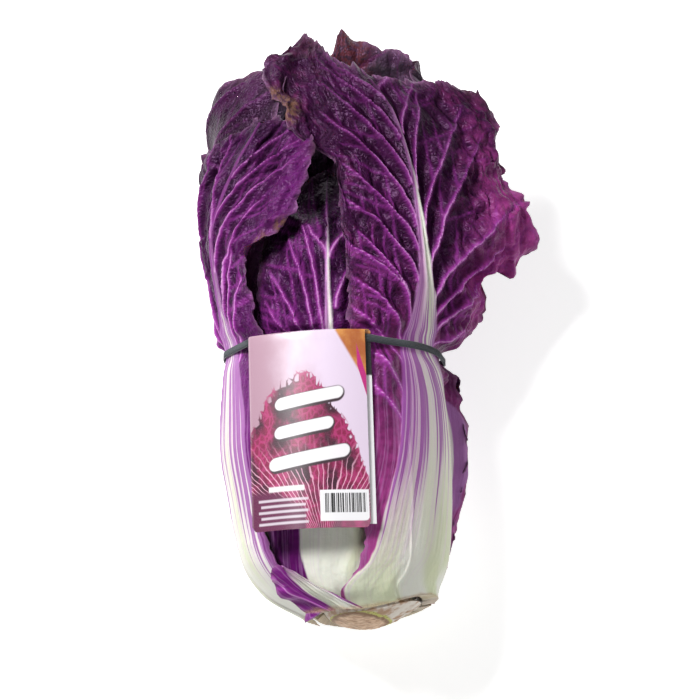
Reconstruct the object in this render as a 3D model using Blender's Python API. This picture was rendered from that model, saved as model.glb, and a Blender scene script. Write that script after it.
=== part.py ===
"""A purple napa cabbage head lying on its side, held by an elastic band that carries a folded card tag.

The head is built the way it grew. Every leaf is a closed sheet laid over the leaves inside it: all leaves
share one set of rays around the core's axis and one set of stations along it, so each leaf takes its inner
face from what it covers, plus a clearance, and pressed leaves cannot cross. +Y runs from the cut base to
the leaf tips, +X to the right as seen from above, +Z up from the surface the head lies on. Metres.
"""
import math
from dataclasses import dataclass

import bmesh
import bpy
import numpy as np

# Overall sizes of the head.
HEAD_LENGTH = 0.334
BODY_WIDTH = 0.128
AXIS_HEIGHT = 0.052
TOP_RISE = 0.055
UNDER_DROP = 0.055

# Stem, leaves and the clearance between leaves pressed on each other.
CORE_RADIUS = 0.025
HEART_RADIUS = 0.009
PETIOLE_THICKNESS = 0.0085
BLADE_THICKNESS = 0.0014
LEAF_GAP = 0.0008
PRESSED = 0.55  # the least share of its thickness that a petiole keeps where leaves are packed tight
INNER_LEAVES = 13
GOLDEN_ANGLE = 137.5

# Elastic band and card tag.
BAND_SHARE = 0.443
BAND_WIDTH = 0.004
BAND_THICKNESS = 0.0008
BAND_SINK = 0.0003  # how far the band lies below the leaves' faces on either side of it
NIP_SLOPE = 0.003  # the length over which pinched leaves rise again beside the band
TAG_WIDTH = 0.063
TAG_LENGTH = 0.103
TAG_BACK_LENGTH = 0.101
TAG_CENTRE_X = -0.0355
TAG_BEND_RADIUS = 0.075
TAG_TURN = math.radians(1.8)
CARD_THICKNESS = 0.0004
CARD_GAP = 0.0008

# Rays around the axis, and stations along it as shares of the length; four of them carry the band's pinch.
RAYS = 36
UNDER_BAND = (BAND_WIDTH / 2 + LEAF_GAP) / HEAD_LENGTH
BESIDE_BAND = UNDER_BAND + NIP_SLOPE / HEAD_LENGTH
BAND_STATIONS = (
    BAND_SHARE - BESIDE_BAND, BAND_SHARE - UNDER_BAND, BAND_SHARE + UNDER_BAND, BAND_SHARE + BESIDE_BAND,
)
STATIONS = (
    0, 0.02, 0.05, 0.10, 0.17, 0.25, 0.34, *BAND_STATIONS, 0.50, 0.56, 0.62, 0.675,
    0.725, 0.75, 0.77, 0.79, 0.81, 0.84, 0.87, 0.90, 0.93, 0.965, 1,
)
STEM_STATIONS = (0, 0.25)
HEART_STATIONS = (0.34, 0.62)

# Share of the length, then half width, rise over the axis and drop under it as shares of their largest,
# and how far the axis lies to the side, as a share of the body's width.
PROFILE = (
    (0.00, 0.52, 0.58, 0.58, 0.015),
    (0.04, 0.73, 0.78, 0.78, -0.07),
    (0.10, 0.88, 0.89, 0.90, -0.11),
    (0.20, 0.96, 0.97, 0.98, -0.133),
    (0.29, 1.00, 1.00, 1.00, -0.156),
    (0.44, 0.96, 1.00, 1.00, -0.170),
    (0.54, 1.00, 0.98, 1.00, -0.172),
    (0.65, 1.12, 0.91, 1.00, -0.172),
    (0.74, 1.15, 0.82, 0.98, -0.172),
    (0.83, 1.12, 0.70, 0.84, -0.172),
    (0.92, 0.94, 0.50, 0.60, -0.172),
    (1.00, 0.75, 0.26, 0.27, -0.172),
)


@dataclass
class Leaf:
    """One leaf; angles are in degrees around the axis, 0 to the right and 90 upward.

    midrib and outline hold stations along the head: (share, angle), and (share, one margin, other margin).
    shell is the share of the head's outline that the outer face keeps to, and flare says how far each
    margin stands out past it: (share, one margin, other margin), in metres.
    """

    name: str
    midrib: tuple
    outline: tuple
    shell: float
    petiole_half: float
    petiole: float = PETIOLE_THICKNESS
    flare: tuple = ((0, 0, 0),)
    colour: tuple = (0.16, 0.03, 0.17)


OUTER_LEAVES = (
    Leaf(
        "leaf_centre",
        midrib=((0, 90), (0.44, 90), (0.75, 93)),
        outline=(
            (0.02, 60, 120), (0.10, 50, 128), (0.25, 48, 130), (0.44, 45, 134), (0.60, 42, 132), (0.75, 68, 112),
        ),
        shell=0.87,
        petiole_half=38,
    ),
    Leaf(
        "leaf_under_middle",
        midrib=((0, 284), (1, 292)),
        outline=(
            (0, 250, 320), (0.10, 252, 324), (0.25, 250, 326), (0.44, 240, 334), (0.60, 222, 350),
            (0.75, 206, 364), (0.89, 204, 368), (0.94, 216, 362), (0.975, 238, 352), (1, 264, 330),
        ),
        shell=0.85,
        petiole_half=38,
    ),
    Leaf(
        "leaf_back_left",
        midrib=((0, 214), (0.94, 186)),
        outline=(
            (0, 182, 244), (0.25, 180, 246), (0.44, 172, 246), (0.60, 152, 244), (0.75, 142, 240),
            (0.82, 140, 230), (0.89, 144, 216), (0.94, 156, 204),
        ),
        shell=0.91,
        petiole_half=34,
        flare=((0.75, 0, 0), (0.94, 0, 0.004)),
    ),
    Leaf(
        "leaf_under_right",
        midrib=((0, 308), (1, 300)),
        outline=(
            (0, 276, 338), (0.10, 270, 342), (0.25, 262, 348), (0.44, 260, 348), (0.60, 258, 346),
            (0.75, 266, 330), (0.82, 280, 316),
        ),
        shell=1.0,
        petiole_half=36,
        flare=(
            (0.05, 0, 0), (0.20, 0, 0.006), (0.32, 0, 0.011), (0.44, 0, 0), (0.52, 0, 0.016), (0.60, 0, 0.012),
            (0.8, 0, 0),
        ),
    ),
    Leaf(
        "leaf_left_outer",
        midrib=((0, 172), (0.10, 166), (0.44, 160), (0.82, 150)),
        outline=(
            (0, 132, 214), (0.10, 126, 210), (0.25, 126, 206), (0.44, 128, 204), (0.52, 124, 202),
            (0.60, 116, 200), (0.68, 108, 196), (0.75, 106, 190), (0.82, 116, 182), (0.89, 140, 168),
        ),
        shell=1.0,
        petiole_half=42,
    ),
    Leaf(
        "leaf_right_outer",
        midrib=((0, 48), (0.10, 46), (0.28, 34), (0.45, 35), (0.65, 40), (0.85, 36), (0.95, 46)),
        outline=(
            (0, -18, 108), (0.05, -18, 94), (0.10, -18, 86), (0.25, -14, 80), (0.44, -10, 80), (0.52, -6, 80),
            (0.62, 0, 84), (0.745, 6, 88), (0.80, 6, 118), (0.87, 8, 132), (0.93, 18, 146), (0.965, 40, 124),
        ),
        shell=1.0,
        petiole_half=44,
        flare=(
            (0.45, 0, 0), (0.50, 0.013, 0), (0.54, 0.020, 0), (0.60, 0.033, 0), (0.65, 0.041, 0),
            (0.73, 0.028, 0), (0.82, 0.021, 0), (0.89, 0.018, 0), (0.93, 0.010, 0.003), (0.965, 0.004, 0.003),
        ),
    ),
    Leaf(
        "leaf_torn_stub",
        midrib=((0, 138), (1, 138)),
        outline=((0, 102, 186), (0.02, 102, 176), (0.05, 108, 166), (0.10, 122, 154)),
        shell=1.0,
        petiole_half=30,
        petiole=0.0035,
        flare=((0, 0, 0.008), (0.05, 0, 0.005), (0.10, 0, 0.001)),
        colour=(0.30, 0.05, 0.30),
    ),
)


def column(table, share, place):
    """A value of a station table at a share of the length, on straight stretches between stations."""
    return float(np.interp(share, [row[0] for row in table], [row[place] for row in table]))


def ray_direction(ray):
    angle = 2 * math.pi * ray / RAYS
    return np.array([math.cos(angle), 0.0, math.sin(angle)])


def axis_point(share):
    return np.array([column(PROFILE, share, 4) * BODY_WIDTH, (share - 0.5) * HEAD_LENGTH, AXIS_HEIGHT])


def outline_radius(share, ray):
    """The head's own outline along a ray: an ellipse, flattened where the head lies on the surface."""
    direction = ray_direction(ray)
    half_width = column(PROFILE, share, 1) * BODY_WIDTH / 2
    if direction[2] < 0:
        half_height = column(PROFILE, share, 3) * UNDER_DROP
    else:
        half_height = column(PROFILE, share, 2) * TOP_RISE
    radius = 1 / math.hypot(direction[0] / half_width, direction[2] / half_height)
    if direction[2] < 0:
        radius = min(radius, -AXIS_HEIGHT / direction[2])
    pinch = BAND_THICKNESS + LEAF_GAP + BAND_SINK
    return radius - pinch * float(np.interp(share, BAND_STATIONS, (0, 1, 1, 0)))


def inner_leaves():
    """The nested leaves of the head, from the heart outward, each turned by the golden angle."""
    made = []
    for number in range(INNER_LEAVES):
        age = number / (INNER_LEAVES - 1)
        angle = 90 - GOLDEN_ANGLE * (INNER_LEAVES - number)
        start = STATIONS[5 - round(4 * age)]
        end = 0.56 + 0.14 * age
        spread = 54 + 22 * age
        made.append(
            Leaf(
                f"inner_leaf_{number + 1:02d}",
                midrib=((0, angle),),
                outline=(
                    (start, angle - 32, angle + 32),
                    (0.34, angle - 40, angle + 40),
                    (0.44, angle - spread, angle + spread),
                    (end - 0.06, angle - spread, angle + spread),
                    (end, angle - 28, angle + 28),
                ),
                shell=0.26 + 0.50 * age,
                petiole_half=32,
                petiole=0.0035 + 0.004 * age,
                colour=(0.55, 0.42, 0.50),
            )
        )
    return made


def leaf_thickness(leaf, share, angle):
    """Thick across the petiole and midrib, thin over the blade; the midrib tapers toward the tip."""
    taper = np.interp(share, (0, 0.05, 0.25, 0.44, 0.60, 0.75, 1), (0.55, 0.9, 0.95, 0.72, 0.45, 0.28, 0.16))
    half = leaf.petiole_half * np.interp(share, (0, 0.25, 0.5, 0.8), (1, 0.9, 0.55, 0.25))
    middle = column(leaf.midrib, share, 1)
    margin = column(leaf.outline, share, 1 if angle < middle else 2)
    across = abs(angle - middle) / max(min(half, abs(margin - middle)), 1)
    rib = max(leaf.petiole * taper - BLADE_THICKNESS, 0)
    return BLADE_THICKNESS + rib * max(0, 1 - across**3)


def leaf_flare(leaf, share, angle):
    """How far the blade stands out past the head's outline, growing from the midrib to the margin."""
    middle = column(leaf.midrib, share, 1)
    side = 1 if angle < middle else 2
    margin = column(leaf.outline, share, side)
    toward = min(abs(angle - middle) / max(abs(margin - middle), 1), 1)
    return column(leaf.flare, share, side) * toward**1.6


def leaf_rows(leaf):
    """The stations that the leaf reaches, each with the first and last ray that it covers there.

    A margin moves by one ray at most from station to station, so the outline has no long slivers.
    """
    rows = []
    step = 360 / RAYS
    for place, share in enumerate(STATIONS):
        if leaf.outline[0][0] - 1e-6 <= share <= leaf.outline[-1][0] + 1e-6:
            first = round(column(leaf.outline, share, 1) / step)
            last = round(column(leaf.outline, share, 2) / step)
            if rows:
                first = min(max(first, rows[-1][1] - 1), rows[-1][1] + 1)
                last = min(max(last, rows[-1][2] - 1), rows[-1][2] + 1)
            rows.append((place, first, last))
    return rows


def sheet_faces(rows):
    """Triangles between neighbouring stations; a row's end ray is shared where the next row is wider."""
    faces = []
    for (low, low_first, low_last), (high, high_first, high_last) in zip(rows, rows[1:]):
        for ray in range(min(low_first, high_first), max(low_last, high_last)):
            a, b = ((low, min(max(r, low_first), low_last)) for r in (ray, ray + 1))
            d, c = ((high, min(max(r, high_first), high_last)) for r in (ray, ray + 1))
            if a != b:
                faces.append((a, b, c))
            if c != d:
                faces.append((a, c, d))
    return faces


def closed_sheet(name, outer, inner, faces):
    """A closed solid from two matching faces of a sheet and the rim between them."""
    mesh = bpy.data.meshes.new(name)
    bm = bmesh.new()
    top = {key: bm.verts.new(point) for key, point in outer.items()}
    bottom = {key: bm.verts.new(point) for key, point in inner.items()}
    used = {edge for face in faces for edge in zip(face, face[1:] + face[:1])}
    for face in faces:
        bm.faces.new([top[key] for key in face])
        bm.faces.new([bottom[key] for key in reversed(face)])
    for a, b in sorted(used):
        if (b, a) not in used:
            bm.faces.new((top[b], top[a], bottom[a]))
            bm.faces.new((top[b], bottom[a], bottom[b]))
    bmesh.ops.recalc_face_normals(bm, faces=bm.faces)
    bm.to_mesh(mesh)
    bm.free()
    return bpy.data.objects.new(name, mesh)


def folds(faces):
    """The fold line across each cell of a sheet, as (cell, one end, other end).

    A whole cell folds from its first low corner to its last high one, and a lone triangle at the margin
    may lie along the other diagonal.
    """
    found = {}
    for face in faces:
        low = min(place for place, _ in face)
        first = min(ray for _, ray in face)
        fold = ((low, first), (low + 1, first + 1))
        if not set(fold) <= set(face):
            fold = ((low, first + 1), (low + 1, first))
        found[low, first] = fold
    return [(cell, *fold) for cell, fold in sorted(found.items())]


def grow_leaf(leaf, reached, reached_folds):
    """Lay one leaf over what is there and raise the reached radii to its outer face.

    reached holds the radius of the outermost face at every station and ray, and reached_folds holds it at
    the middle of every cell between them, where two sheets folded along different diagonals come closest.
    """
    rows = leaf_rows(leaf)
    faces = sheet_faces(rows)
    radius = {}
    thickness = {}
    for place, first, last in rows:
        share = STATIONS[place]
        for ray in range(first, last + 1):
            key = (place, ray)
            angle = ray * 360 / RAYS
            full = leaf_thickness(leaf, share, angle)
            outside = leaf.shell * outline_radius(share, ray) + leaf_flare(leaf, share, angle)
            least = reached[place, ray % RAYS] + LEAF_GAP
            thickness[key] = max(min(full, outside - least), PRESSED * full, BLADE_THICKNESS)
            radius[key] = max(outside - thickness[key], least)
    for (place, ray), start, end in folds(faces):
        short = reached_folds[place, ray % RAYS] + LEAF_GAP - (radius[start] + radius[end]) / 2
        if short > 0:
            radius[start] += short
            radius[end] += short
    inner = {key: axis_point(STATIONS[key[0]]) + radius[key] * ray_direction(key[1]) for key in radius}
    outer = {}
    for key in radius:
        reach = radius[key] + thickness[key]
        outer[key] = axis_point(STATIONS[key[0]]) + reach * ray_direction(key[1])
        reached[key[0], key[1] % RAYS] = reach
    for (place, ray), start, end in folds(faces):
        middle = (radius[start] + thickness[start] + radius[end] + thickness[end]) / 2
        reached_folds[place, ray % RAYS] = max(middle, reached_folds[place, ray % RAYS])
    return closed_sheet(leaf.name, outer, inner, faces)


def lofted_solid(name, reach, radius_at, reached):
    """A solid around the axis, one ring of points at each station it reaches, closed by flat ends."""
    mesh = bpy.data.meshes.new(name)
    bm = bmesh.new()
    rings = []
    for place in [place for place, share in enumerate(STATIONS) if reach[0] <= share <= reach[1]]:
        ring = []
        for ray in range(RAYS):
            radius = radius_at(STATIONS[place], ray)
            ring.append(bm.verts.new(axis_point(STATIONS[place]) + radius * ray_direction(ray)))
            reached[place, ray] = radius
        rings.append(ring)
    for low, high in zip(rings, rings[1:]):
        for ray in range(RAYS):
            after = (ray + 1) % RAYS
            bm.faces.new((low[ray], low[after], high[after]))
            bm.faces.new((low[ray], high[after], high[ray]))
    bm.faces.new(rings[0])
    bm.faces.new(rings[-1])
    bmesh.ops.recalc_face_normals(bm, faces=bm.faces)
    bm.to_mesh(mesh)
    bm.free()
    return bpy.data.objects.new(name, mesh)


def stem_butt(reached):
    """The short stem, widest at its cut base, that the leaves are fixed to."""

    def radius_at(share, ray):
        narrowing = np.interp(share, (0, 0.05, 0.10, 0.17, 0.25), (1, 0.95, 0.78, 0.5, 0.16))
        return CORE_RADIUS * narrowing * outline_radius(0, ray) / outline_radius(0, 0)

    return lofted_solid("stem_butt", STEM_STATIONS, radius_at, reached)


def heart_bud(reached):
    """The youngest leaves, still folded into one bud over the end of the stem."""

    def radius_at(share, ray):
        return HEART_RADIUS * float(np.interp(share, (0.34, 0.44, 0.52, 0.62), (0.7, 1, 0.9, 0.35)))

    return lofted_solid("heart_bud", HEART_STATIONS, radius_at, reached)


def convex_loop(points):
    """The corners of a loop pulled tight around points (x, z), in order around them."""

    def half_loop(ordered):
        chain = []
        for point in ordered:
            while len(chain) > 1:
                edge = np.subtract(chain[-1], chain[-2])
                turn = np.subtract(point, chain[-2])
                if edge[0] * turn[1] - edge[1] * turn[0] > 0:
                    break
                chain.pop()
            chain.append(point)
        return chain[:-1]

    ordered = sorted(points)
    return half_loop(ordered) + half_loop(ordered[::-1])


def tag_surface(reached):
    """Height of the tag's resting surface over x: one gentle bend that clears every leaf under the card."""
    peak_x = axis_point(BAND_SHARE)[0]
    reach = TAG_WIDTH / 2 + 2 * BAND_WIDTH
    top_share = BAND_SHARE + 2 * BAND_WIDTH / HEAD_LENGTH
    lift = 0.0
    for share in np.linspace(top_share - (TAG_LENGTH + 4 * BAND_WIDTH) / HEAD_LENGTH, top_share, 40):
        radii = [np.interp(share, STATIONS, reached[:, ray]) for ray in range(RAYS // 2 + 1)]
        points = [axis_point(share) + radius * ray_direction(ray) for ray, radius in enumerate(radii)]
        for start, end in zip(points, points[1:]):
            for part in (0, 0.25, 0.5, 0.75):
                point = start + part * (end - start)
                if abs(point[0] - TAG_CENTRE_X) < reach:
                    lift = max(lift, point[2] + (point[0] - peak_x) ** 2 / (2 * TAG_BEND_RADIUS))

    def height(x):
        return lift - (x - peak_x) ** 2 / (2 * TAG_BEND_RADIUS) + CARD_GAP

    return height


def band_loop(reached, height):
    """Corners (x, z) of the band's inner face, pulled tight over the leaves and the tag's back panel."""
    centre = axis_point(BAND_SHARE)
    points = []
    for ray in range(RAYS):
        radius = max(np.interp(BAND_STATIONS[1:3], STATIONS, reached[:, ray])) + LEAF_GAP
        point = centre + radius * ray_direction(ray)
        points.append((point[0], point[2]))
    reach = TAG_WIDTH / 2 + CARD_GAP
    for x in np.linspace(TAG_CENTRE_X - reach, TAG_CENTRE_X + reach, 9):
        points.append((x, height(x) + CARD_THICKNESS + CARD_GAP))
    return convex_loop(points)


def elastic_band(loop):
    """A flat closed loop of elastic standing on its inner corners."""
    mesh = bpy.data.meshes.new("elastic_band")
    bm = bmesh.new()
    centre = axis_point(BAND_SHARE)
    rings = []
    for proud, along in ((0, -0.5), (0, 0.5), (1, 0.5), (1, -0.5)):
        ring = []
        for x, z in loop:
            arm = np.array([x - centre[0], 0, z - centre[2]])
            outward = arm * (1 + proud * BAND_THICKNESS / np.linalg.norm(arm))
            ring.append(bm.verts.new(centre + outward + np.array([0, along * BAND_WIDTH, 0])))
        rings.append(ring)
    for low, high in zip(rings, rings[1:] + rings[:1]):
        for place in range(len(loop)):
            after = (place + 1) % len(loop)
            bm.faces.new((low[place], low[after], high[after]))
            bm.faces.new((low[place], high[after], high[place]))
    bmesh.ops.recalc_face_normals(bm, faces=bm.faces)
    bm.to_mesh(mesh)
    bm.free()
    return bpy.data.objects.new("elastic_band", mesh)


def lift_over_band(loop, height):
    """How far over the resting surface the front panel has to pass to clear the band."""
    highest = 0.0
    for start, end in zip(loop, loop[1:] + loop[:1]):
        for part in np.linspace(0, 1, 9):
            x, z = np.add(start, part * np.subtract(end, start))
            if z > AXIS_HEIGHT and abs(x - TAG_CENTRE_X) < TAG_WIDTH / 2 + CARD_GAP:
                highest = max(highest, z - height(x))
    return highest + BAND_THICKNESS + CARD_GAP


def hang_tag(height, front_lift):
    """A card folded over the band: a back panel on the leaves, a fold, and a front panel over the band."""
    band_y = axis_point(BAND_SHARE)[1]
    fold_radius = front_lift / 2
    fold_start = BAND_WIDTH / 2 + CARD_GAP + TAG_WIDTH / 2 * math.sin(abs(TAG_TURN))
    path = [(-TAG_BACK_LENGTH * part / 4, 0.0) for part in (4, 3, 2, 1)]
    for turn in range(0, 181, 30):
        bend = math.radians(turn)
        path.append((fold_start + fold_radius * math.sin(bend), fold_radius * (1 - math.cos(bend))))
    path += [(-TAG_LENGTH * part / 4, front_lift) for part in (1, 2, 3, 4)]
    columns = 8
    outer = {}
    inner = {}
    for row, (along, lift) in enumerate(path):
        ahead = np.subtract(path[min(row + 1, len(path) - 1)], path[max(row - 1, 0)])
        out = np.array([ahead[1], -ahead[0]]) / np.linalg.norm(ahead)
        for place in range(columns + 1):
            side = (place / columns - 0.5) * TAG_WIDTH
            for thickness, sheet in ((0, outer), (CARD_THICKNESS, inner)):
                reach = along - out[0] * thickness
                x = TAG_CENTRE_X + side * math.cos(TAG_TURN) - reach * math.sin(TAG_TURN)
                y = band_y + reach * math.cos(TAG_TURN) + side * math.sin(TAG_TURN)
                sheet[row, place] = np.array([x, y, height(x) + lift - out[1] * thickness])
    rows = [(row, 0, columns) for row in range(len(path))]
    return closed_sheet("hang_tag", outer, inner, sheet_faces(rows))


def plain_material(name, colour, roughness):
    material = bpy.data.materials.new(name)
    material.use_nodes = True
    surface = material.node_tree.nodes["Principled BSDF"]
    surface.inputs["Base Color"].default_value = (*colour, 1)
    surface.inputs["Roughness"].default_value = roughness
    surface.inputs["Metallic"].default_value = 0.0
    return material


def settle(objects):
    """Put the origin under the middle of the whole head, at the height of the surface it lies on."""
    corners = np.array([vertex.co for item in objects for vertex in item.data.vertices])
    low, high = corners.min(axis=0), corners.max(axis=0)
    shift = np.array([-(low[0] + high[0]) / 2, -(low[1] + high[1]) / 2, -low[2]])
    for item in objects:
        for vertex in item.data.vertices:
            vertex.co = np.array(vertex.co) + shift


def main():
    for item in list(bpy.data.objects):
        bpy.data.objects.remove(item, do_unlink=True)
    collection = bpy.data.collections.new("napa_cabbage")
    bpy.context.scene.collection.children.link(collection)

    reached = np.zeros((len(STATIONS), RAYS))
    made = [(stem_butt(reached), (0.60, 0.42, 0.22), 0.7), (heart_bud(reached), (0.75, 0.66, 0.55), 0.5)]
    reached_folds = np.array([[(row[ray] + after[(ray + 1) % RAYS]) / 2 for ray in range(RAYS)]
                              for row, after in zip(reached, reached[1:])])
    for leaf in (*inner_leaves(), *OUTER_LEAVES):
        made.append((grow_leaf(leaf, reached, reached_folds), leaf.colour, 0.45))
    height = tag_surface(reached)
    loop = band_loop(reached, height)
    made.append((elastic_band(loop), (0.04, 0.05, 0.06), 0.6))
    made.append((hang_tag(height, lift_over_band(loop, height)), (0.60, 0.42, 0.60), 0.35))

    for item, colour, roughness in made:
        collection.objects.link(item)
        item.data.materials.append(plain_material(item.name + "_surface", colour, roughness))
    settle([item for item, _, _ in made])


main()
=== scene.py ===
"""A purple napa cabbage lying on a pale surface, with its elastic band and folded card tag.

Every leaf is a crinkled sheet laid over the leaves inside it. Stations along the head are shares of its
length, from the cut base to the tips, and angles around it are in degrees, 0 to the right and 90 upward.
"""

import math
from dataclasses import dataclass

import bmesh
import bpy
import numpy as np
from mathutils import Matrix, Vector


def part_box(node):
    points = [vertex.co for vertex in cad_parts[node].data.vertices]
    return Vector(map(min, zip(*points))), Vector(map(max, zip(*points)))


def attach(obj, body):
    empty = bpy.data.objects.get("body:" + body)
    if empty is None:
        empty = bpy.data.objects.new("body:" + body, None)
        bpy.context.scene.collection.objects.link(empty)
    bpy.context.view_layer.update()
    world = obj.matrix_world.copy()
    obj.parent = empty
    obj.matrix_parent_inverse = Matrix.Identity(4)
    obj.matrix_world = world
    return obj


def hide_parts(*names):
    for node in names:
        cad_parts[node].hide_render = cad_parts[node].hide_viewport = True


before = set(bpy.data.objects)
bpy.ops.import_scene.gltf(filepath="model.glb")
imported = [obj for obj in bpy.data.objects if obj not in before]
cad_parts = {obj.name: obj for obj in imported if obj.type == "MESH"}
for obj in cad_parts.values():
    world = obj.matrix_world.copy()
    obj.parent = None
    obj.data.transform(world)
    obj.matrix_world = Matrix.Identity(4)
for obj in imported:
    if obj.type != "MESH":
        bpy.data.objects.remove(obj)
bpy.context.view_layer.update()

# Sizes of the head, the same as the solid model's.
HEAD_LENGTH = 0.334
BODY_WIDTH = 0.128
AXIS_HEIGHT = 0.052
TOP_RISE = 0.055
UNDER_DROP = 0.055
CORE_RADIUS = 0.025
HEART_RADIUS = 0.009
PETIOLE_THICKNESS = 0.0085
BLADE_THICKNESS = 0.0014
MARGIN_THICKNESS = 0.0005
VEIN_WIDTH = 0.0014
# How far off a vein is taken to be where there is none.
FAR = 0.05
# A leaf's outer and inner faces stay at least this high over the surface.
LOWEST_FACE = 0.0012
LOWEST_BACK = 0.0004
LEAF_GAP = 0.0008
PRESSED = 0.55
INNER_LEAVES = 13
GOLDEN_ANGLE = 137.5

# Elastic band and card tag.
BAND_SHARE = 0.443
BAND_WIDTH = 0.004
BAND_THICKNESS = 0.0008
BAND_SINK = 0.0003
BAND_STEPS = 420
THREADS = 620
NIP_SLOPE = 0.003
TAG_WIDTH = 0.063
TAG_LENGTH = 0.103
TAG_BACK_LENGTH = 0.101
TAG_CENTRE_X = -0.0355
TAG_BEND_RADIUS = 0.075
TAG_TURN = math.radians(1.8)
CARD_GAP = 0.0008
CARD_THICKNESS = 0.0004

# Share of the length, half width, rise, drop, and the axis's sideways place.
PROFILE = (
    (0.00, 0.52, 0.58, 0.58, 0.015),
    (0.04, 0.73, 0.78, 0.78, -0.07),
    (0.10, 0.88, 0.89, 0.90, -0.11),
    (0.20, 0.96, 0.97, 0.98, -0.133),
    (0.29, 1.00, 1.00, 1.00, -0.156),
    (0.44, 0.96, 1.00, 1.00, -0.170),
    (0.54, 1.00, 0.98, 1.00, -0.172),
    (0.65, 1.12, 0.91, 1.00, -0.172),
    (0.74, 1.15, 0.82, 0.98, -0.172),
    (0.83, 1.12, 0.70, 0.84, -0.172),
    (0.92, 0.94, 0.50, 0.60, -0.172),
    (1.00, 0.75, 0.26, 0.27, -0.172),
)

# The head is cut slightly askew: the base is this much shorter on its right side and on top.
BASE_SLANT = 0.013
BASE_LEAN = 0.005

# The grid that the leaves' radii are worked out on.
GRID_SHARES = np.linspace(0, 1, 301)
GRID_ANGLES = np.arange(0, 360, 1.0)


@dataclass
class Leaf:
    """One leaf: where it lies, how it is ribbed and veined, and how its blade is coloured and ruffled.

    midrib holds (share, angle). tip and root hold (place across from -1 to 1, share where the leaf ends
    there). dip holds (share, metres that the leaf lies deeper). outline, ribs, flare, ruffle, notches and
    lit hold (share, first side, other side): the margins and the petiole's two edges in degrees, the next
    three in metres, and lit is painted light, how much brighter the blade is painted toward its margins.
    A vein is (side, share where it leaves, metres from the midrib there, share where it ends, part of the
    half width reached, bend). A patch is (share, place across, radius), where the blade is scorched. pleat
    is how far the veins stand out and faint how strongly they show. The other tables hold (share, amount):
    cream is how white the midrib stays, vivid how bright the blade is, streaked how violet the petiole is,
    blush how violet its far edge is, and green and worn where the leaf is tinted.
    """

    name: str
    midrib: tuple
    outline: tuple
    shell: float
    petiole_half: float
    petiole: float = PETIOLE_THICKNESS
    flare: tuple = ((0, 0, 0),)
    ribs: tuple = ()
    veins: tuple = ()
    ruffle: tuple = ((0, 0, 0), (0.2, 0.0005, 0.0005), (0.5, 0.0015, 0.0015), (0.8, 0.003, 0.003))
    notches: tuple = ((0, 0, 0),)
    ragged: float = 0.0014
    rounding: float = 0.05
    tip: tuple = ()
    root: tuple = ()
    dip: tuple = ((0, 0),)
    pleat: float = 0.0022
    cream: tuple = ((0, 1), (0.6, 1), (0.75, 0.3), (1, 0.1))
    vivid: tuple = ((0, 0.9), (0.45, 0.8), (0.65, 0.45), (0.85, 0.12), (1, 0.05))
    green: tuple = ((0, 0.5), (0.3, 0.3), (0.6, 0.1))
    worn: tuple = ((0, 0), (0.85, 0), (1, 0.6))
    streaked: tuple = ((0.03, 0), (0.40, 1))
    blush: tuple = ((0, 0),)
    patches: tuple = ()
    lit: tuple = ((0, 0, 0),)
    faint: float = 1.0
    puff: float = 0.0020
    rows: int = 170
    columns: int = 120
    seed: int = 1


# A vein leaves the midrib to the leaf's right or left, seen from outside with its tip up.
RIGHT, LEFT = -1, 1


def first_side(*stations):
    """A two-sided station table whose other side is 0."""
    return tuple((share, amount, 0) for share, amount in stations)


def other_side(*stations):
    """A two-sided station table whose first side is 0."""
    return tuple((share, 0, amount) for share, amount in stations)


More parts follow.
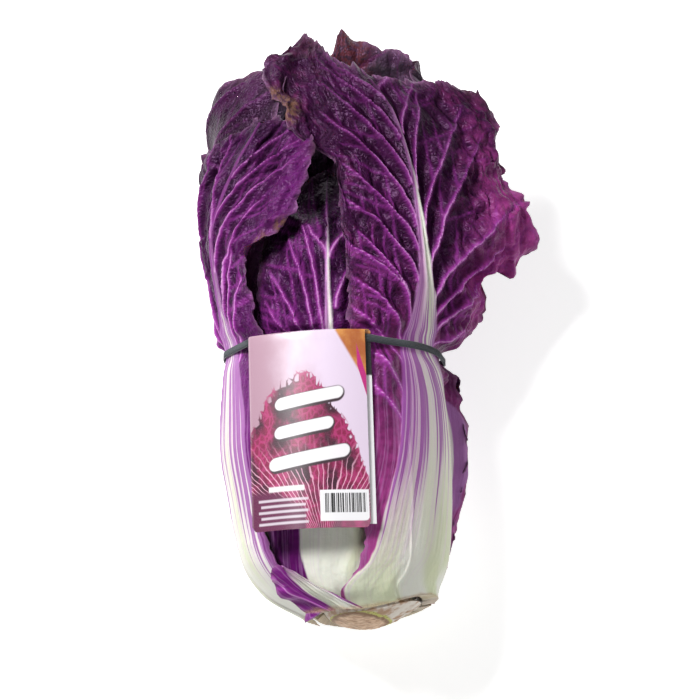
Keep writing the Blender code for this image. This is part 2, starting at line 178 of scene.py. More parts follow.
# The leaves that show, each laid over those before it.
OUTER_LEAVES = (
    Leaf(
        "leaf_centre",
        midrib=((0, 112), (0.06, 102), (0.14, 95), (0.44, 91), (0.60, 93), (0.75, 98)),
        outline=(
            (0.01, 70, 134), (0.10, 50, 146), (0.25, 48, 146), (0.44, 45, 142), (0.60, 42, 142),
            (0.75, 68, 132),
        ),
        shell=0.87,
        petiole_half=38,
        ribs=(
            (0.01, 84, 128), (0.06, 76, 126), (0.12, 62, 122), (0.30, 74, 110), (0.40, 84, 100),
            (0.45, 89, 94), (0.60, 92, 94.4), (0.75, 97, 98.2),
        ),
        veins=(
            (LEFT, 0.43, 0.008, 0.65, 0.62, 1.7),
            (LEFT, 0.42, 0.012, 0.57, 0.75, 1.4),
            (LEFT, 0.41, 0.017, 0.52, 0.85, 1.2),
            (LEFT, 0.40, 0.022, 0.47, 0.9, 1.0),
            (LEFT, 0.58, 0.001, 0.66, 0.35, 1.3),
            (LEFT, 0.45, 0.004, 0.70, 0.5, 1.8),
            (RIGHT, 0.40, 0.010, 0.60, 0.8, 1.6),
            (RIGHT, 0.50, 0.003, 0.66, 0.8, 1.4),
            (RIGHT, 0.58, 0.002, 0.72, 0.8, 1.3),
        ),
        dip=((0, 0), (0.54, 0), (0.62, 0.005), (0.75, 0.020)),
        pleat=0.0042,
        faint=0.8,
        cream=((0, 1), (0.56, 1), (0.64, 0.25), (0.68, 0), (0.75, 0)),
        # vivid falls below 0 toward the top: painted shade where this leaf sinks into the hollow of the head.
        vivid=((0, 0.6), (0.30, 0.4), (0.44, 0.28), (0.53, 0.12), (0.60, -0.05), (0.68, -0.1)),
        streaked=((0, 0), (0.2, 0.1), (0.44, 0.6)),
        worn=((0, 0), (1, 0)),
        rows=200,
        columns=130,
        seed=11,
    ),
    Leaf(
        "leaf_under_middle",
        midrib=((0, 284), (1, 292)),
        outline=(
            (0, 250, 320), (0.10, 252, 324), (0.25, 250, 326), (0.44, 240, 334), (0.60, 222, 350),
            (0.75, 206, 364), (0.89, 200, 374), (0.94, 206, 374), (0.975, 212, 374), (1.045, 218, 370),
        ),
        shell=0.85,
        petiole_half=38,
        tip=(
            (-1, 0.93), (-0.58, 0.966), (-0.3, 1.002), (0, 1.045), (0.12, 1.034), (0.31, 1.024),
            (0.5, 1.016), (0.72, 0.990), (0.85, 0.966), (1, 0.94),
        ),
        faint=0.15,
        vivid=((0, 0.9), (0.5, 0.5), (0.8, 0.15), (1, 0.0)),
        worn=((0, 0), (1, 0.1)),
        patches=((1.015, 0.0, 0.020), (0.985, -0.1, 0.020)),
        rows=200,
        columns=140,
        seed=23,
    ),
    Leaf(
        "leaf_back_left",
        midrib=((0, 214), (0.75, 190), (0.94, 172)),
        outline=(
            (0, 182, 244), (0.25, 180, 246), (0.44, 172, 246), (0.60, 152, 244), (0.75, 142, 240),
            (0.82, 132, 230), (0.89, 128, 218), (0.955, 132, 208),
        ),
        shell=0.93,
        petiole_half=34,
        flare=((0.70, 0, 0), (0.82, 0.002, 0.002), (0.955, 0.003, 0.004)),
        tip=(
            (-1, 0.915), (-0.65, 0.930), (-0.4, 0.926), (-0.15, 0.917), (0.12, 0.902), (0.4, 0.89),
            (0.7, 0.87), (1, 0.84),
        ),
        dip=((0, 0), (0.78, 0), (0.868, -0.0045), (0.90, -0.0065), (0.93, -0.006)),
        faint=0.3,
        pleat=0.0045,
        vivid=((0, 0.9), (0.5, 0.6), (0.70, 0.05), (0.80, -0.15), (1, -0.25)),
        ragged=0.0004,
        puff=0.0005,
        rows=190,
        columns=120,
        seed=37,
    ),
    Leaf(
        "leaf_under_right",
        midrib=((0, 308), (1, 300)),
        outline=(
            (0, 276, 338), (0.10, 270, 342), (0.25, 262, 348), (0.44, 260, 348), (0.60, 258, 346),
            (0.75, 266, 330), (0.82, 280, 316),
        ),
        shell=1.0,
        petiole_half=36,
        flare=other_side(
            (0.05, 0), (0.18, 0.004), (0.24, 0.009), (0.32, 0.011), (0.37, 0.009), (0.42, 0.010),
            (0.432, 0.003), (0.455, 0.001), (0.52, 0.004), (0.60, 0), (0.8, 0),
        ),
        ruffle=(
            (0, 0, 0), (0.15, 0.001, 0.004), (0.3, 0.001, 0.0065), (0.44, 0.001, 0.0015),
            (0.55, 0.002, 0.005),
        ),
        notches=other_side(
            (0.18, 0), (0.205, -0.004), (0.225, 0.002), (0.25, -0.003), (0.27, 0.003), (0.295, -0.006),
            (0.315, 0.001), (0.335, 0.003), (0.36, -0.006), (0.38, 0.002), (0.40, 0.003), (0.43, 0),
        ),
        vivid=((0, 0.6), (0.3, 0.12), (0.5, 0.1), (0.8, 0.0)),
        ragged=0.0048,
        rows=200,
        columns=130,
        seed=41,
    ),
    Leaf(
        "leaf_left_outer",
        midrib=((0, 172), (0.10, 167), (0.44, 163), (0.62, 162), (0.70, 154), (0.84, 136)),
        outline=(
            (0, 140, 214), (0.05, 137, 212), (0.10, 139, 210), (0.17, 142, 208), (0.25, 138, 206),
            (0.44, 131, 204), (0.52, 137, 202), (0.595, 138, 200), (0.615, 127, 199), (0.64, 116, 198),
            (0.70, 107, 192), (0.76, 103, 188), (0.80, 106, 184), (0.86, 118, 172),
        ),
        shell=1.0,
        petiole_half=42,
        ribs=(
            (0, 141, 212), (0.15, 144, 206), (0.30, 144, 200), (0.40, 148, 192), (0.45, 155, 178),
            (0.52, 159, 168), (0.62, 160.5, 164), (0.70, 153, 155), (0.84, 135.5, 136.5),
        ),
        veins=(
            (RIGHT, 0.43, 0.008, 0.62, 0.55, 1.3),
            (RIGHT, 0.42, 0.012, 0.57, 0.75, 1.2),
            (RIGHT, 0.50, 0.004, 0.70, 0.6, 1.4),
            (RIGHT, 0.58, 0.002, 0.76, 0.75, 1.4),
            (RIGHT, 0.66, 0.001, 0.80, 0.8, 1.4),
            (RIGHT, 0.73, 0.001, 0.83, 0.8, 1.3),
            (LEFT, 0.42, 0.006, 0.83, 0.50, 0.8),
            (LEFT, 0.41, 0.011, 0.74, 0.80, 1.0),
            (LEFT, 0.40, 0.016, 0.62, 0.90, 1.0),
            (LEFT, 0.64, 0.001, 0.82, 0.3, 1.2),
        ),
        ruffle=(
            (0, 0, 0), (0.3, 0.0004, 0.0004), (0.5, 0.002, 0.001), (0.62, 0.005, 0.0015), (0.8, 0.005, 0.002),
        ),
        tip=((-1, 0.80), (-0.7, 0.825), (-0.4, 0.835), (0, 0.835), (0.4, 0.81), (0.8, 0.78), (1, 0.75)),
        pleat=0.0042,
        cream=((0, 1), (0.46, 0.9), (0.55, 0.4), (0.66, 0.15), (0.8, 0.0)),
        vivid=((0, 0.9), (0.44, 0.45), (0.55, 0.10), (0.68, 0.08), (0.84, 0.0)),
        streaked=((0, 0.1), (0.08, 0.35), (0.2, 0.8), (0.36, 1.1), (0.44, 1.2)),
        patches=((0.66, -0.97, 0.005), (0.635, -0.97, 0.006)),
        lit=first_side((0.45, 0), (0.55, 0.1), (0.62, 0.3), (0.72, 0.45), (0.84, 0.1)),
        ragged=0.0026,
        rows=220,
        columns=150,
        seed=53,
    ),
    Leaf(
        "leaf_right_outer",
        midrib=(
            (0, 48), (0.10, 46), (0.28, 34), (0.45, 35), (0.65, 40), (0.75, 42), (0.85, 47), (0.95, 60),
        ),
        outline=(
            (0, -18, 118), (0.03, -18, 104), (0.05, -18, 93), (0.085, -18, 82), (0.13, -18, 77),
            (0.25, -14, 78), (0.44, -10, 80), (0.52, -6, 80), (0.62, 0, 84), (0.745, 6, 88),
            (0.80, 6, 118), (0.87, 8, 130), (0.93, 14, 143), (0.99, 30, 140),
        ),
        shell=1.0,
        petiole_half=44,
        flare=(
            (0.45, 0, 0), (0.50, 0.013, 0), (0.54, 0.020, 0), (0.60, 0.033, 0), (0.65, 0.041, 0),
            (0.73, 0.028, 0), (0.82, 0.021, 0.001), (0.89, 0.018, 0.003), (0.93, 0.010, 0.005),
            (0.98, 0.004, 0.006),
        ),
        ribs=(
            (0, -16, 115), (0.03, -16, 101), (0.06, -15, 87), (0.085, -15, 76), (0.127, -14, 69),
            (0.187, -12, 63), (0.273, -12, 54), (0.358, -11, 50), (0.41, 2, 49), (0.444, 16, 47.5),
            (0.50, 26, 44), (0.56, 32, 42), (0.63, 36.5, 42), (0.71, 39.5, 42.2),
            (0.83, 44.8, 46.4), (0.93, 56, 57),
        ),
        veins=(
            (LEFT, 0.710, 0.001, 0.900, 0.55, 1.4),
            (LEFT, 0.640, 0.003, 0.845, 0.70, 1.6),
            (LEFT, 0.600, 0.004, 0.750, 0.92, 1.5),
            (LEFT, 0.545, 0.005, 0.690, 0.95, 1.6),
            (LEFT, 0.475, 0.009, 0.632, 0.85, 1.9),
            (LEFT, 0.520, 0.012, 0.608, 1.0, 1.4),
            (LEFT, 0.440, 0.013, 0.550, 0.95, 1.6),
            (LEFT, 0.410, 0.015, 0.500, 1.0, 1.4),
            (LEFT, 0.360, 0.016, 0.456, 1.0, 1.3),
            (LEFT, 0.310, 0.017, 0.406, 1.0, 1.2),
            (LEFT, 0.790, 0.001, 0.950, 0.50, 1.3),
            (LEFT, 0.860, 0.001, 0.975, 0.50, 1.3),
            (RIGHT, 0.704, 0.001, 0.900, 0.45, 1.5),
            (RIGHT, 0.545, 0.004, 0.825, 0.85, 1.5),
            (RIGHT, 0.500, 0.006, 0.710, 0.92, 1.6),
            (RIGHT, 0.470, 0.008, 0.640, 0.92, 1.5),
            (RIGHT, 0.450, 0.010, 0.575, 0.88, 1.5),
            (RIGHT, 0.440, 0.013, 0.510, 0.9, 1.3),
            (RIGHT, 0.620, 0.003, 0.870, 0.75, 1.5),
            (RIGHT, 0.800, 0.001, 0.930, 0.60, 1.3),
            (RIGHT, 0.880, 0.001, 0.940, 0.60, 1.2),
        ),
        ruffle=(
            (0, 0, 0), (0.3, 0.0003, 0.0004), (0.45, 0.001, 0.0008), (0.55, 0.005, 0.001),
            (0.65, 0.005, 0.0012), (0.8, 0.005, 0.002), (0.9, 0.004, 0.004),
        ),
        notches=(
            (0.44, 0, 0), (0.47, -0.001, 0), (0.490, -0.006, 0), (0.505, 0.003, 0), (0.530, 0.008, 0),
            (0.550, 0.007, 0), (0.560, -0.014, 0), (0.570, -0.027, 0), (0.582, -0.021, 0), (0.592, 0, 0),
            (0.62, 0.003, 0), (0.66, -0.002, 0), (0.70, -0.001, 0), (0.73, -0.003, 0), (0.775, 0.002, 0),
            (0.80, -0.003, 0), (0.84, 0.001, -0.002), (0.88, 0, 0.002),
        ),
        tip=(
            (-1, 0.89), (-0.7, 0.905), (-0.3, 0.905), (0, 0.922), (0.2, 0.935), (0.5, 0.955), (0.74, 0.985),
            (0.90, 0.992), (1, 0.965),
        ),
        lit=((0.44, 0, 0), (0.50, 0.5, 0), (0.60, 1.0, 0), (0.72, 0.65, 0.05), (0.85, 0.2, 0.1)),
        ragged=0.0032,
        pleat=0.0062,
        cream=((0, 1), (0.66, 0.95), (0.72, 0.3), (0.85, 0.05), (1, 0)),
        vivid=((0, 0.8), (0.40, 0.34), (0.52, 0.12), (0.65, -0.05), (0.80, -0.10), (0.95, -0.10)),
        streaked=((0, 0.0), (0.08, 0.2), (0.22, 0.7), (0.36, 1.0), (0.45, 1.0), (0.54, 0.5), (0.64, 0.2)),
        blush=((0.05, 0), (0.16, 0.3), (0.30, 0.85), (0.44, 1)),
        patches=((0.805, 0.96, 0.009), (0.78, 0.97, 0.006), (0.835, 0.98, 0.005)),
        green=((0, 0.8), (0.1, 0.6), (0.35, 0.4), (0.6, 0.25), (0.72, 0)),
        puff=0.0019,
        rows=250,
        columns=186,
        seed=61,
    ),
    Leaf(
        "leaf_torn_stub",
        midrib=((0, 122), (0.04, 130), (0.08, 135)),
        outline=((0, 100, 150), (0.02, 108, 148), (0.045, 119, 144), (0.065, 127, 141), (0.08, 131, 139)),
        shell=1.0,
        petiole_half=30,
        petiole=0.0035,
        flare=((0, 0, 0.009), (0.03, 0, 0.008), (0.08, 0.001, 0.003)),
        ribs=((0, 102, 130), (0.03, 113, 130), (0.05, 121, 131), (0.08, 133, 134)),
        root=((-1, 0.0), (0.5, 0.0), (0.8, -0.010), (1, -0.022)),
        ruffle=((0, 0.0005, 0.004), (0.05, 0.001, 0.0045), (0.085, 0.001, 0.002)),
        vivid=((0, 1), (1, 1)),
        cream=((0, 1), (0.03, 1), (0.06, 0.5), (0.08, 0.0)),
        rounding=0.012,
        pleat=0.0,
        puff=0.0004,
        rows=70,
        columns=110,
        seed=71,
    ),
)


# --- numbers -----------------------------------------------------------------------------------------


def curve(table, share, place=1):
    """A value of a station table, on a smooth curve that never overshoots its stations."""
    xs = np.array([row[0] for row in table], float)
    ys = np.array([row[place] for row in table], float)
    share = np.clip(np.asarray(share, float), xs[0], xs[-1])
    if len(xs) < 2:
        return np.full(share.shape, ys[0])
    steps = np.diff(xs)
    slopes = np.diff(ys) / steps
    tangents = np.zeros(len(xs))
    for knot in range(1, len(xs) - 1):
        before, after = slopes[knot - 1], slopes[knot]
        if before * after > 0:
            tangents[knot] = 2 * before * after / (before + after)
    tangents[0], tangents[-1] = slopes[0], slopes[-1]
    spot = np.clip(np.searchsorted(xs, share, side="right") - 1, 0, len(xs) - 2)
    t = (share - xs[spot]) / steps[spot]
    rise = ys[spot + 1] - ys[spot]
    a = tangents[spot] * steps[spot]
    b = tangents[spot + 1] * steps[spot]
    return ys[spot] + a * t + (3 * rise - 2 * a - b) * t**2 + (a + b - 2 * rise) * t**3


def lattice(x, y, seed):
    """A fixed scattered number from 0 to 1 for each pair of whole numbers."""
    mixed = (x * 374761393 + y * 668265263 + seed * 1274126177) & 0xFFFFFFFF
    mixed = ((mixed ^ (mixed >> 13)) * 1103515245) & 0xFFFFFFFF
    return ((mixed ^ (mixed >> 16)) & 0xFFFF) / 65535.0


def noise(x, y, seed):
    """Smooth noise from -1 to 1 with features about one unit wide."""
    column, row = np.floor(x).astype(np.int64), np.floor(y).astype(np.int64)
    fx, fy = x - column, y - row
    fx, fy = fx * fx * fx * (fx * (fx * 6 - 15) + 10), fy * fy * fy * (fy * (fy * 6 - 15) + 10)
    low = lattice(column, row, seed) * (1 - fx) + lattice(column + 1, row, seed) * fx
    high = lattice(column, row + 1, seed) * (1 - fx) + lattice(column + 1, row + 1, seed) * fx
    return 2 * (low * (1 - fy) + high * fy) - 1


def layered(x, y, seed, layers=3):
    """Noise with finer and finer detail."""
    total, weight, reach = 0.0, 1.0, 0.0
    for layer in range(layers):
        total = total + weight * noise(x * 2.03**layer + 7.7 * layer, y * 2.03**layer, seed + layer)
        reach += weight
        weight *= 0.5
    return total / reach


def cells(x, y, seed):
    """Distance to the middle of the cell around each point, how far its border is, and its own number."""
    column, row = np.floor(x).astype(np.int64), np.floor(y).astype(np.int64)
    first = np.full(x.shape, 9.0)
    second = np.full(x.shape, 9.0)
    own = np.zeros(x.shape)
    for across in (-1, 0, 1):
        for along in (-1, 0, 1):
            cx, cy = column + across, row + along
            dx = x - (cx + 0.5 + 0.75 * (lattice(cx, cy, seed) - 0.5))
            dy = y - (cy + 0.5 + 0.75 * (lattice(cx, cy, seed + 1) - 0.5))
            distance = np.hypot(dx, dy)
            nearer = distance < first
            second = np.where(nearer, first, np.minimum(second, distance))
            own = np.where(nearer, lattice(cx, cy, seed + 2), own)
            first = np.where(nearer, distance, first)
    return first, second - first, own


def sided(table, share, side):
    """A two-sided value: the table's first side where side is negative, its other side elsewhere."""
    return np.where(side < 0, curve(table, share, 1), curve(table, share, 2))


def smoothstep(low, high, value):
    t = np.clip((value - low) / (high - low), 0, 1)
    return t * t * (3 - 2 * t)


# --- the shape of the head ------------------------------------------------------------------------------


def direction(angle):
    angle = np.radians(angle)
    return np.stack([np.cos(angle), np.zeros_like(angle), np.sin(angle)], axis=-1)


def raw_axis(share):
    share = np.asarray(share, float)
    x = curve(PROFILE, share, 4) * BODY_WIDTH
    return np.stack([x, (share - 0.5) * HEAD_LENGTH, np.full(share.shape, AXIS_HEIGHT)], axis=-1)


# The solid model is centred on the whole head, so the stem's widest corner says how far it was moved.
SHIFT = np.array([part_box("stem_butt")[1].x - (PROFILE[0][4] * BODY_WIDTH + CORE_RADIUS), 0.0, 0.0])


def axis_point(share):
    return raw_axis(share) + SHIFT


def spread(field, reach, average):
    """The mean or the largest of a field over its neighbours, round the head and along it."""
    padded = np.pad(field, ((reach, reach), (0, 0)), mode="edge")
    for axis in (0, 1):
        total = 0.0 if average else padded
        weights = 0.0
        for offset in range(-reach, reach + 1):
            moved = np.roll(padded, offset, axis=axis)
            if average:
                weight = math.exp(-2.0 * (offset / reach) ** 2)
                total = total + weight * moved
                weights += weight
            else:
                total = np.maximum(total, moved)
        padded = total / weights if average else total
    return padded[reach:-reach]


def head_outline():
    """The head's own outline over the whole grid, flattened where it lies on the surface."""
    share, angle = np.meshgrid(GRID_SHARES, GRID_ANGLES, indexing="ij")
    across, up = np.cos(np.radians(angle)), np.sin(np.radians(angle))
    half_width = curve(PROFILE, share, 1) * BODY_WIDTH / 2
    above, below = curve(PROFILE, share, 2) * TOP_RISE, curve(PROFILE, share, 3) * UNDER_DROP
    radius = 1 / np.hypot(across / half_width, up / np.where(up < 0, below, above))
    floor = AXIS_HEIGHT / np.maximum(-up, 1e-3)
    radius = np.where(up < 0, np.minimum(radius, floor), radius)
    near = (BAND_WIDTH / 2 + LEAF_GAP) / HEAD_LENGTH
    beside = near + 3 * NIP_SLOPE / HEAD_LENGTH
    pinch = 1 - smoothstep(near, beside, np.abs(share - BAND_SHARE))
    return radius - (BAND_THICKNESS + LEAF_GAP + BAND_SINK) * pinch


def sample(field, share, angle):
    """A grid field between its grid points."""
    row = np.clip(share, 0, 1) * (len(GRID_SHARES) - 1)
    column = np.mod(angle, 360) / (GRID_ANGLES[1] - GRID_ANGLES[0])
    r0 = np.minimum(np.floor(row).astype(int), len(GRID_SHARES) - 2)
    c0 = np.floor(column).astype(int) % len(GRID_ANGLES)
    c1 = (c0 + 1) % len(GRID_ANGLES)
    fr, fc = row - r0, column - np.floor(column)
    low = field[r0, c0] * (1 - fc) + field[r0, c1] * fc
    high = field[r0 + 1, c0] * (1 - fc) + field[r0 + 1, c1] * fc
    return low * (1 - fr) + high * fr


# A petiole's thickness and width along the head, as parts of their greatest.
THINNING = ((0, 0.55), (0.05, 0.9), (0.25, 0.95), (0.44, 0.72), (0.60, 0.45), (0.75, 0.28), (1, 0.16))
NARROWING = ((0, 1), (0.25, 0.85), (0.45, 0.35), (0.6, 0.12), (0.9, 0.03))


def leaf_thickness(leaf, share, offset, low, high):
    """Thick across the petiole and midrib, thin over the blade."""
    taper = curve(THINNING, share)
    half = leaf.petiole_half * curve(((0, 1), (0.25, 0.9), (0.5, 0.55), (0.8, 0.25)), share)
    margin = np.where(offset < 0, -low, high)
    across = np.abs(offset) / np.maximum(np.minimum(half, margin), 1)
    rib = np.maximum(leaf.petiole * taper - BLADE_THICKNESS, 0)
    return BLADE_THICKNESS + rib * np.maximum(0, 1 - across**3)


# Where the inner leaves leave the stem, from the youngest to the oldest.
INNER_STARTS = (0.25, 0.17, 0.10, 0.05, 0.02)


def inner_leaves():
    """The nested leaves of the head, from the heart outward, each turned by the golden angle."""
    made = []
    for number in range(INNER_LEAVES):
        age = number / (INNER_LEAVES - 1)
        angle = 90 - GOLDEN_ANGLE * (INNER_LEAVES - number)
        start = INNER_STARTS[round(4 * age)]
        end = 0.56 + 0.14 * age
        width = 54 + 22 * age
        made.append(
            Leaf(
                f"inner_leaf_{number + 1:02d}",
                midrib=((0, angle),),
                outline=(
                    (start, angle - 32, angle + 32),
                    (0.34, angle - 40, angle + 40),
                    (0.44, angle - width, angle + width),
                    (end - 0.06, angle - width, angle + width),
                    (end, angle - 28, angle + 28),
                ),
                shell=0.26 + 0.50 * age,
                petiole_half=32,
                petiole=0.0035 + 0.004 * age,
                ruffle=((0, 0, 0), (0.4, 0.0004, 0.0004), (0.6, 0.0012, 0.0012)),
                ragged=0.001,
                rounding=0.06,
                cream=((0, 1), (0.7, 0.9)),
                vivid=((0, 1), (0.5, 1.0), (0.7, 0.75)),
                worn=((0, 0), (1, 0)),
                puff=0.0006,
                rows=90,
                columns=60,
                seed=101 + 7 * number,
            )
        )
    return made


def lay_leaves(leaves):
    """Lay the leaves over each other from the core outward; each gets its inner and outer radii."""
    outline = spread(head_outline(), 2, average=True)
    share, angle = np.meshgrid(GRID_SHARES, GRID_ANGLES, indexing="ij")
    narrowing = curve(((0, 1), (0.05, 0.95), (0.10, 0.78), (0.17, 0.5), (0.25, 0.16), (0.26, 0.0)), share)
    reached = CORE_RADIUS * narrowing * outline[0] / outline[0, 0]
    bud = curve(((0.34, 0.7), (0.44, 1), (0.52, 0.9), (0.62, 0.35)), share) * HEART_RADIUS
    reached = np.where((share >= 0.34) & (share <= 0.62), np.maximum(bud, reached), reached)
    laid = {}
    for leaf in leaves:
        middle = curve(leaf.midrib, share)
        low = curve(leaf.outline, share, 1) - middle
        high = curve(leaf.outline, share, 2) - middle
        offset = np.mod(angle - middle + 180, 360) - 180
        toward = np.clip(np.where(offset < 0, offset / low, offset / high), 0, 1.1)
        flare = sided(leaf.flare, share, offset) * toward**1.6
        full = leaf_thickness(leaf, share, offset, low, high)
        outside = leaf.shell * outline + flare - curve(leaf.dip, share)
        least = spread(spread(reached, 3, average=False), 4, average=True) + LEAF_GAP
        thickness = np.maximum(np.minimum(full, outside - least), PRESSED * full)
        thickness = np.maximum(thickness, BLADE_THICKNESS)
        inner = np.maximum(outside - thickness, least)
        inner = np.maximum(spread(inner, 3, average=True), least)
        outer = inner + thickness
        inner = least + (inner - least) * smoothstep(0.0, 0.05, share)
        inside = (offset >= low) & (offset <= high)
        inside &= (share >= leaf.outline[0][0]) & (share <= leaf.outline[-1][0])
        reached = np.where(inside, np.maximum(reached, outer), reached)
        laid[leaf.name] = (inner, outer, inside)
    return laid, reached


def cover_over(leaves, laid):
    """How much of the grid is covered by later leaves, for each leaf."""
    covered = {}
    above = np.zeros((len(GRID_SHARES), len(GRID_ANGLES)))
    for leaf in reversed(leaves):
        covered[leaf.name] = spread(above, 4, average=True)
        above = np.maximum(above, laid[leaf.name][2])
    return covered


# --- leaves as meshes -----------------------------------------------------------------------------------


def base_rise(x, z, share):
    """How much shorter the head is cut toward its right side and its top."""
    askew = BASE_SLANT * smoothstep(-0.010, 0.050, x) + BASE_LEAN * smoothstep(0.025, 0.085, z)
    return askew * np.maximum(1 - share / 0.14, 0) ** 1.5


def unit(vectors):
    return vectors / np.maximum(np.linalg.norm(vectors, axis=-1, keepdims=True), 1e-12)


def grid_normals(points, outward):
    """Normals of a grid of points, turned to the side that outward points to."""
    across = np.gradient(points, axis=1)
    along = np.gradient(points, axis=0)
    normals = unit(np.cross(across, along))
    turned = np.sum(normals * outward, axis=-1, keepdims=True) < 0
    return np.where(turned, -normals, normals)


def new_piece(name, data):
    """An object made of a mesh, a light or a camera, in the scene."""
    piece = bpy.data.objects.new(name, data)
    bpy.context.scene.collection.objects.link(piece)
    return piece


def grid_rim(index):
    """The numbers on the edge of a grid, in their order round it."""
    return np.concatenate([index[0, :], index[1:, -1], index[-1, -2::-1], index[-2:0:-1, 0]])


def closed_sheet(name, outer, inner, maps, shades):
    """A closed sheet from two matching grids of points, with its maps and painted values."""
    rows, columns = outer.shape[:2]
    count = rows * columns
    index = np.arange(count).reshape(rows, columns)
    a, b, c, d = index[:-1, :-1], index[:-1, 1:], index[1:, 1:], index[1:, :-1]
    top = np.stack([a, b, c, d], axis=-1).reshape(-1, 4)
    bottom = np.stack([d, c, b, a], axis=-1).reshape(-1, 4) + count
    loop = grid_rim(index)
    after = np.roll(loop, -1)
    rim = np.stack([after, loop, loop + count, after + count], axis=-1)
    faces = np.concatenate([top, bottom, rim])
    across = np.cross(outer[1, 1] - outer[0, 1], outer[1, 2] - outer[1, 1])
    if np.dot(across, outer[1, 1] - inner[1, 1]) > 0:
        faces = faces[:, ::-1]
    points = np.concatenate([outer.reshape(-1, 3), inner.reshape(-1, 3)])
    mesh = bpy.data.meshes.new(name)
    mesh.from_pydata(points.tolist(), [], faces.tolist())
    corners = faces.reshape(-1)
    for key, uv in maps.items():
        flat_uv = np.concatenate([uv.reshape(-1, 2)] * 2)[corners]
        mesh.uv_layers.new(name=key).data.foreach_set("uv", flat_uv.astype(np.float32).ravel())
    for shade, values in shades.items():
        layer = mesh.attributes.new(shade, "FLOAT", "POINT")
        layer.data.foreach_set("value", np.concatenate([values.ravel()] * 2).astype(np.float32))
    mesh.shade_smooth()
    mesh.set_sharp_from_angle(angle=math.radians(75))
    mesh.validate()
    return new_piece(name, mesh)


# Where a vein forks, as parts of its length.
FORKS = (0.38, 0.58, 0.76)


def vein_paths(leaf, half_width):
    """Every vein of a leaf as (side, start along, start off, end along, end off, bend, weight)."""
    given = leaf.veins
    if not given:
        start, end = leaf.outline[0][0], leaf.outline[-1][0]
        shares = np.linspace(max(start, 0.30), end - 0.10, 7)
        given = [
            (side, at + 0.01 * side, 0.002 + 0.012 * max(0, 0.5 - at), min(at + 0.13, end - 0.01), 0.95, 1.4)
            for at in shares
            for side in (RIGHT, LEFT)
        ]
    paths = []
    for number, (side, leaves, off, ends, reach, bend) in enumerate(given):
        wide = half_width(side, ends) * reach
        paths.append((side, leaves * HEAD_LENGTH, off, ends * HEAD_LENGTH, wide, bend, 1.0))
        for fork, part in enumerate(FORKS):
            s = leaves + (ends - leaves) * part
            w = off + (wide - off) * part**bend
            for turn in (1, -1):
                if lattice(number * 5 + fork, turn + 3, leaf.seed) < 0.25:
                    continue
                run = (1 - part) * (0.10 + 0.08 * lattice(number, fork + turn, leaf.seed + 1))
                if turn > 0:
                    end_s, end_w = s + run * 1.5, w + run * HEAD_LENGTH * 0.165
                else:
                    end_s, end_w = s + run * 0.5, w + run * HEAD_LENGTH * 1.3
                paths.append((side, s * HEAD_LENGTH, w, end_s * HEAD_LENGTH, end_w, 1.15, 0.5))
    return paths


def vein_strength(paths, along, across):
    """How strongly the nearest vein shows at each point, its raised ridge, and how far the next vein is."""
    shade = np.zeros(along.shape)
    ridge = np.zeros(along.shape)
    away = np.full(along.shape, FAR)
    off = np.abs(across)
    wander = 0.0012 * noise(along / 0.014, across / 0.014, 5)
    wander += 0.0004 * noise(along / 0.004, across / 0.004, 6)
    for side, s0, w0, s1, w1, bend, weight in paths:
        t = (along - s0) / (s1 - s0)
        inside = (t > -0.02) & (t < 1) & (across * side > 0)
        t = np.clip(t, 0, 1)
        path = w0 + (w1 - w0) * t**bend
        slope = (w1 - w0) / (s1 - s0) * bend * np.maximum(t, 0.02) ** (bend - 1)
        distance = np.abs(off + wander - path) / np.sqrt(1 + slope**2)
        thick = VEIN_WIDTH * (0.35 + 0.65 * weight) * (1 - 0.65 * t)
        if weight == 1:
            fade = smoothstep(1.0, 0.9, t)
            away = np.minimum(away, np.where(inside, distance + 0.006 * smoothstep(0.7, 1.0, t), FAR))
        else:
            fade = weight * smoothstep(1.0, 0.8, t) * smoothstep(-0.02, 0.03, t)
        narrow = np.exp(-((distance / thick) ** 2)) * fade
        broad = np.exp(-((distance / (1.6 * thick)) ** 2)) * fade * thick / VEIN_WIDTH
        shade = np.maximum(shade, np.where(inside, narrow, 0))
        ridge = np.maximum(ridge, np.where(inside, broad, 0))
    return shade, ridge, away


def band_y_of(below):
    """How far along the head a place lies that is this much nearer the base than the band."""
    return (BAND_SHARE - 0.5) * HEAD_LENGTH - below


def row_lengths(points):
    """The way travelled along each row of a grid of points."""
    steps = np.linalg.norm(np.diff(points, axis=1), axis=-1)
    return np.concatenate([np.zeros((len(points), 1)), np.cumsum(steps, axis=1)], axis=1)


def on_head(radius, share, angle):
    """The points of the head that a grid of radii gives."""
    return axis_point(share) + sample(radius, share, angle)[..., None] * direction(angle)


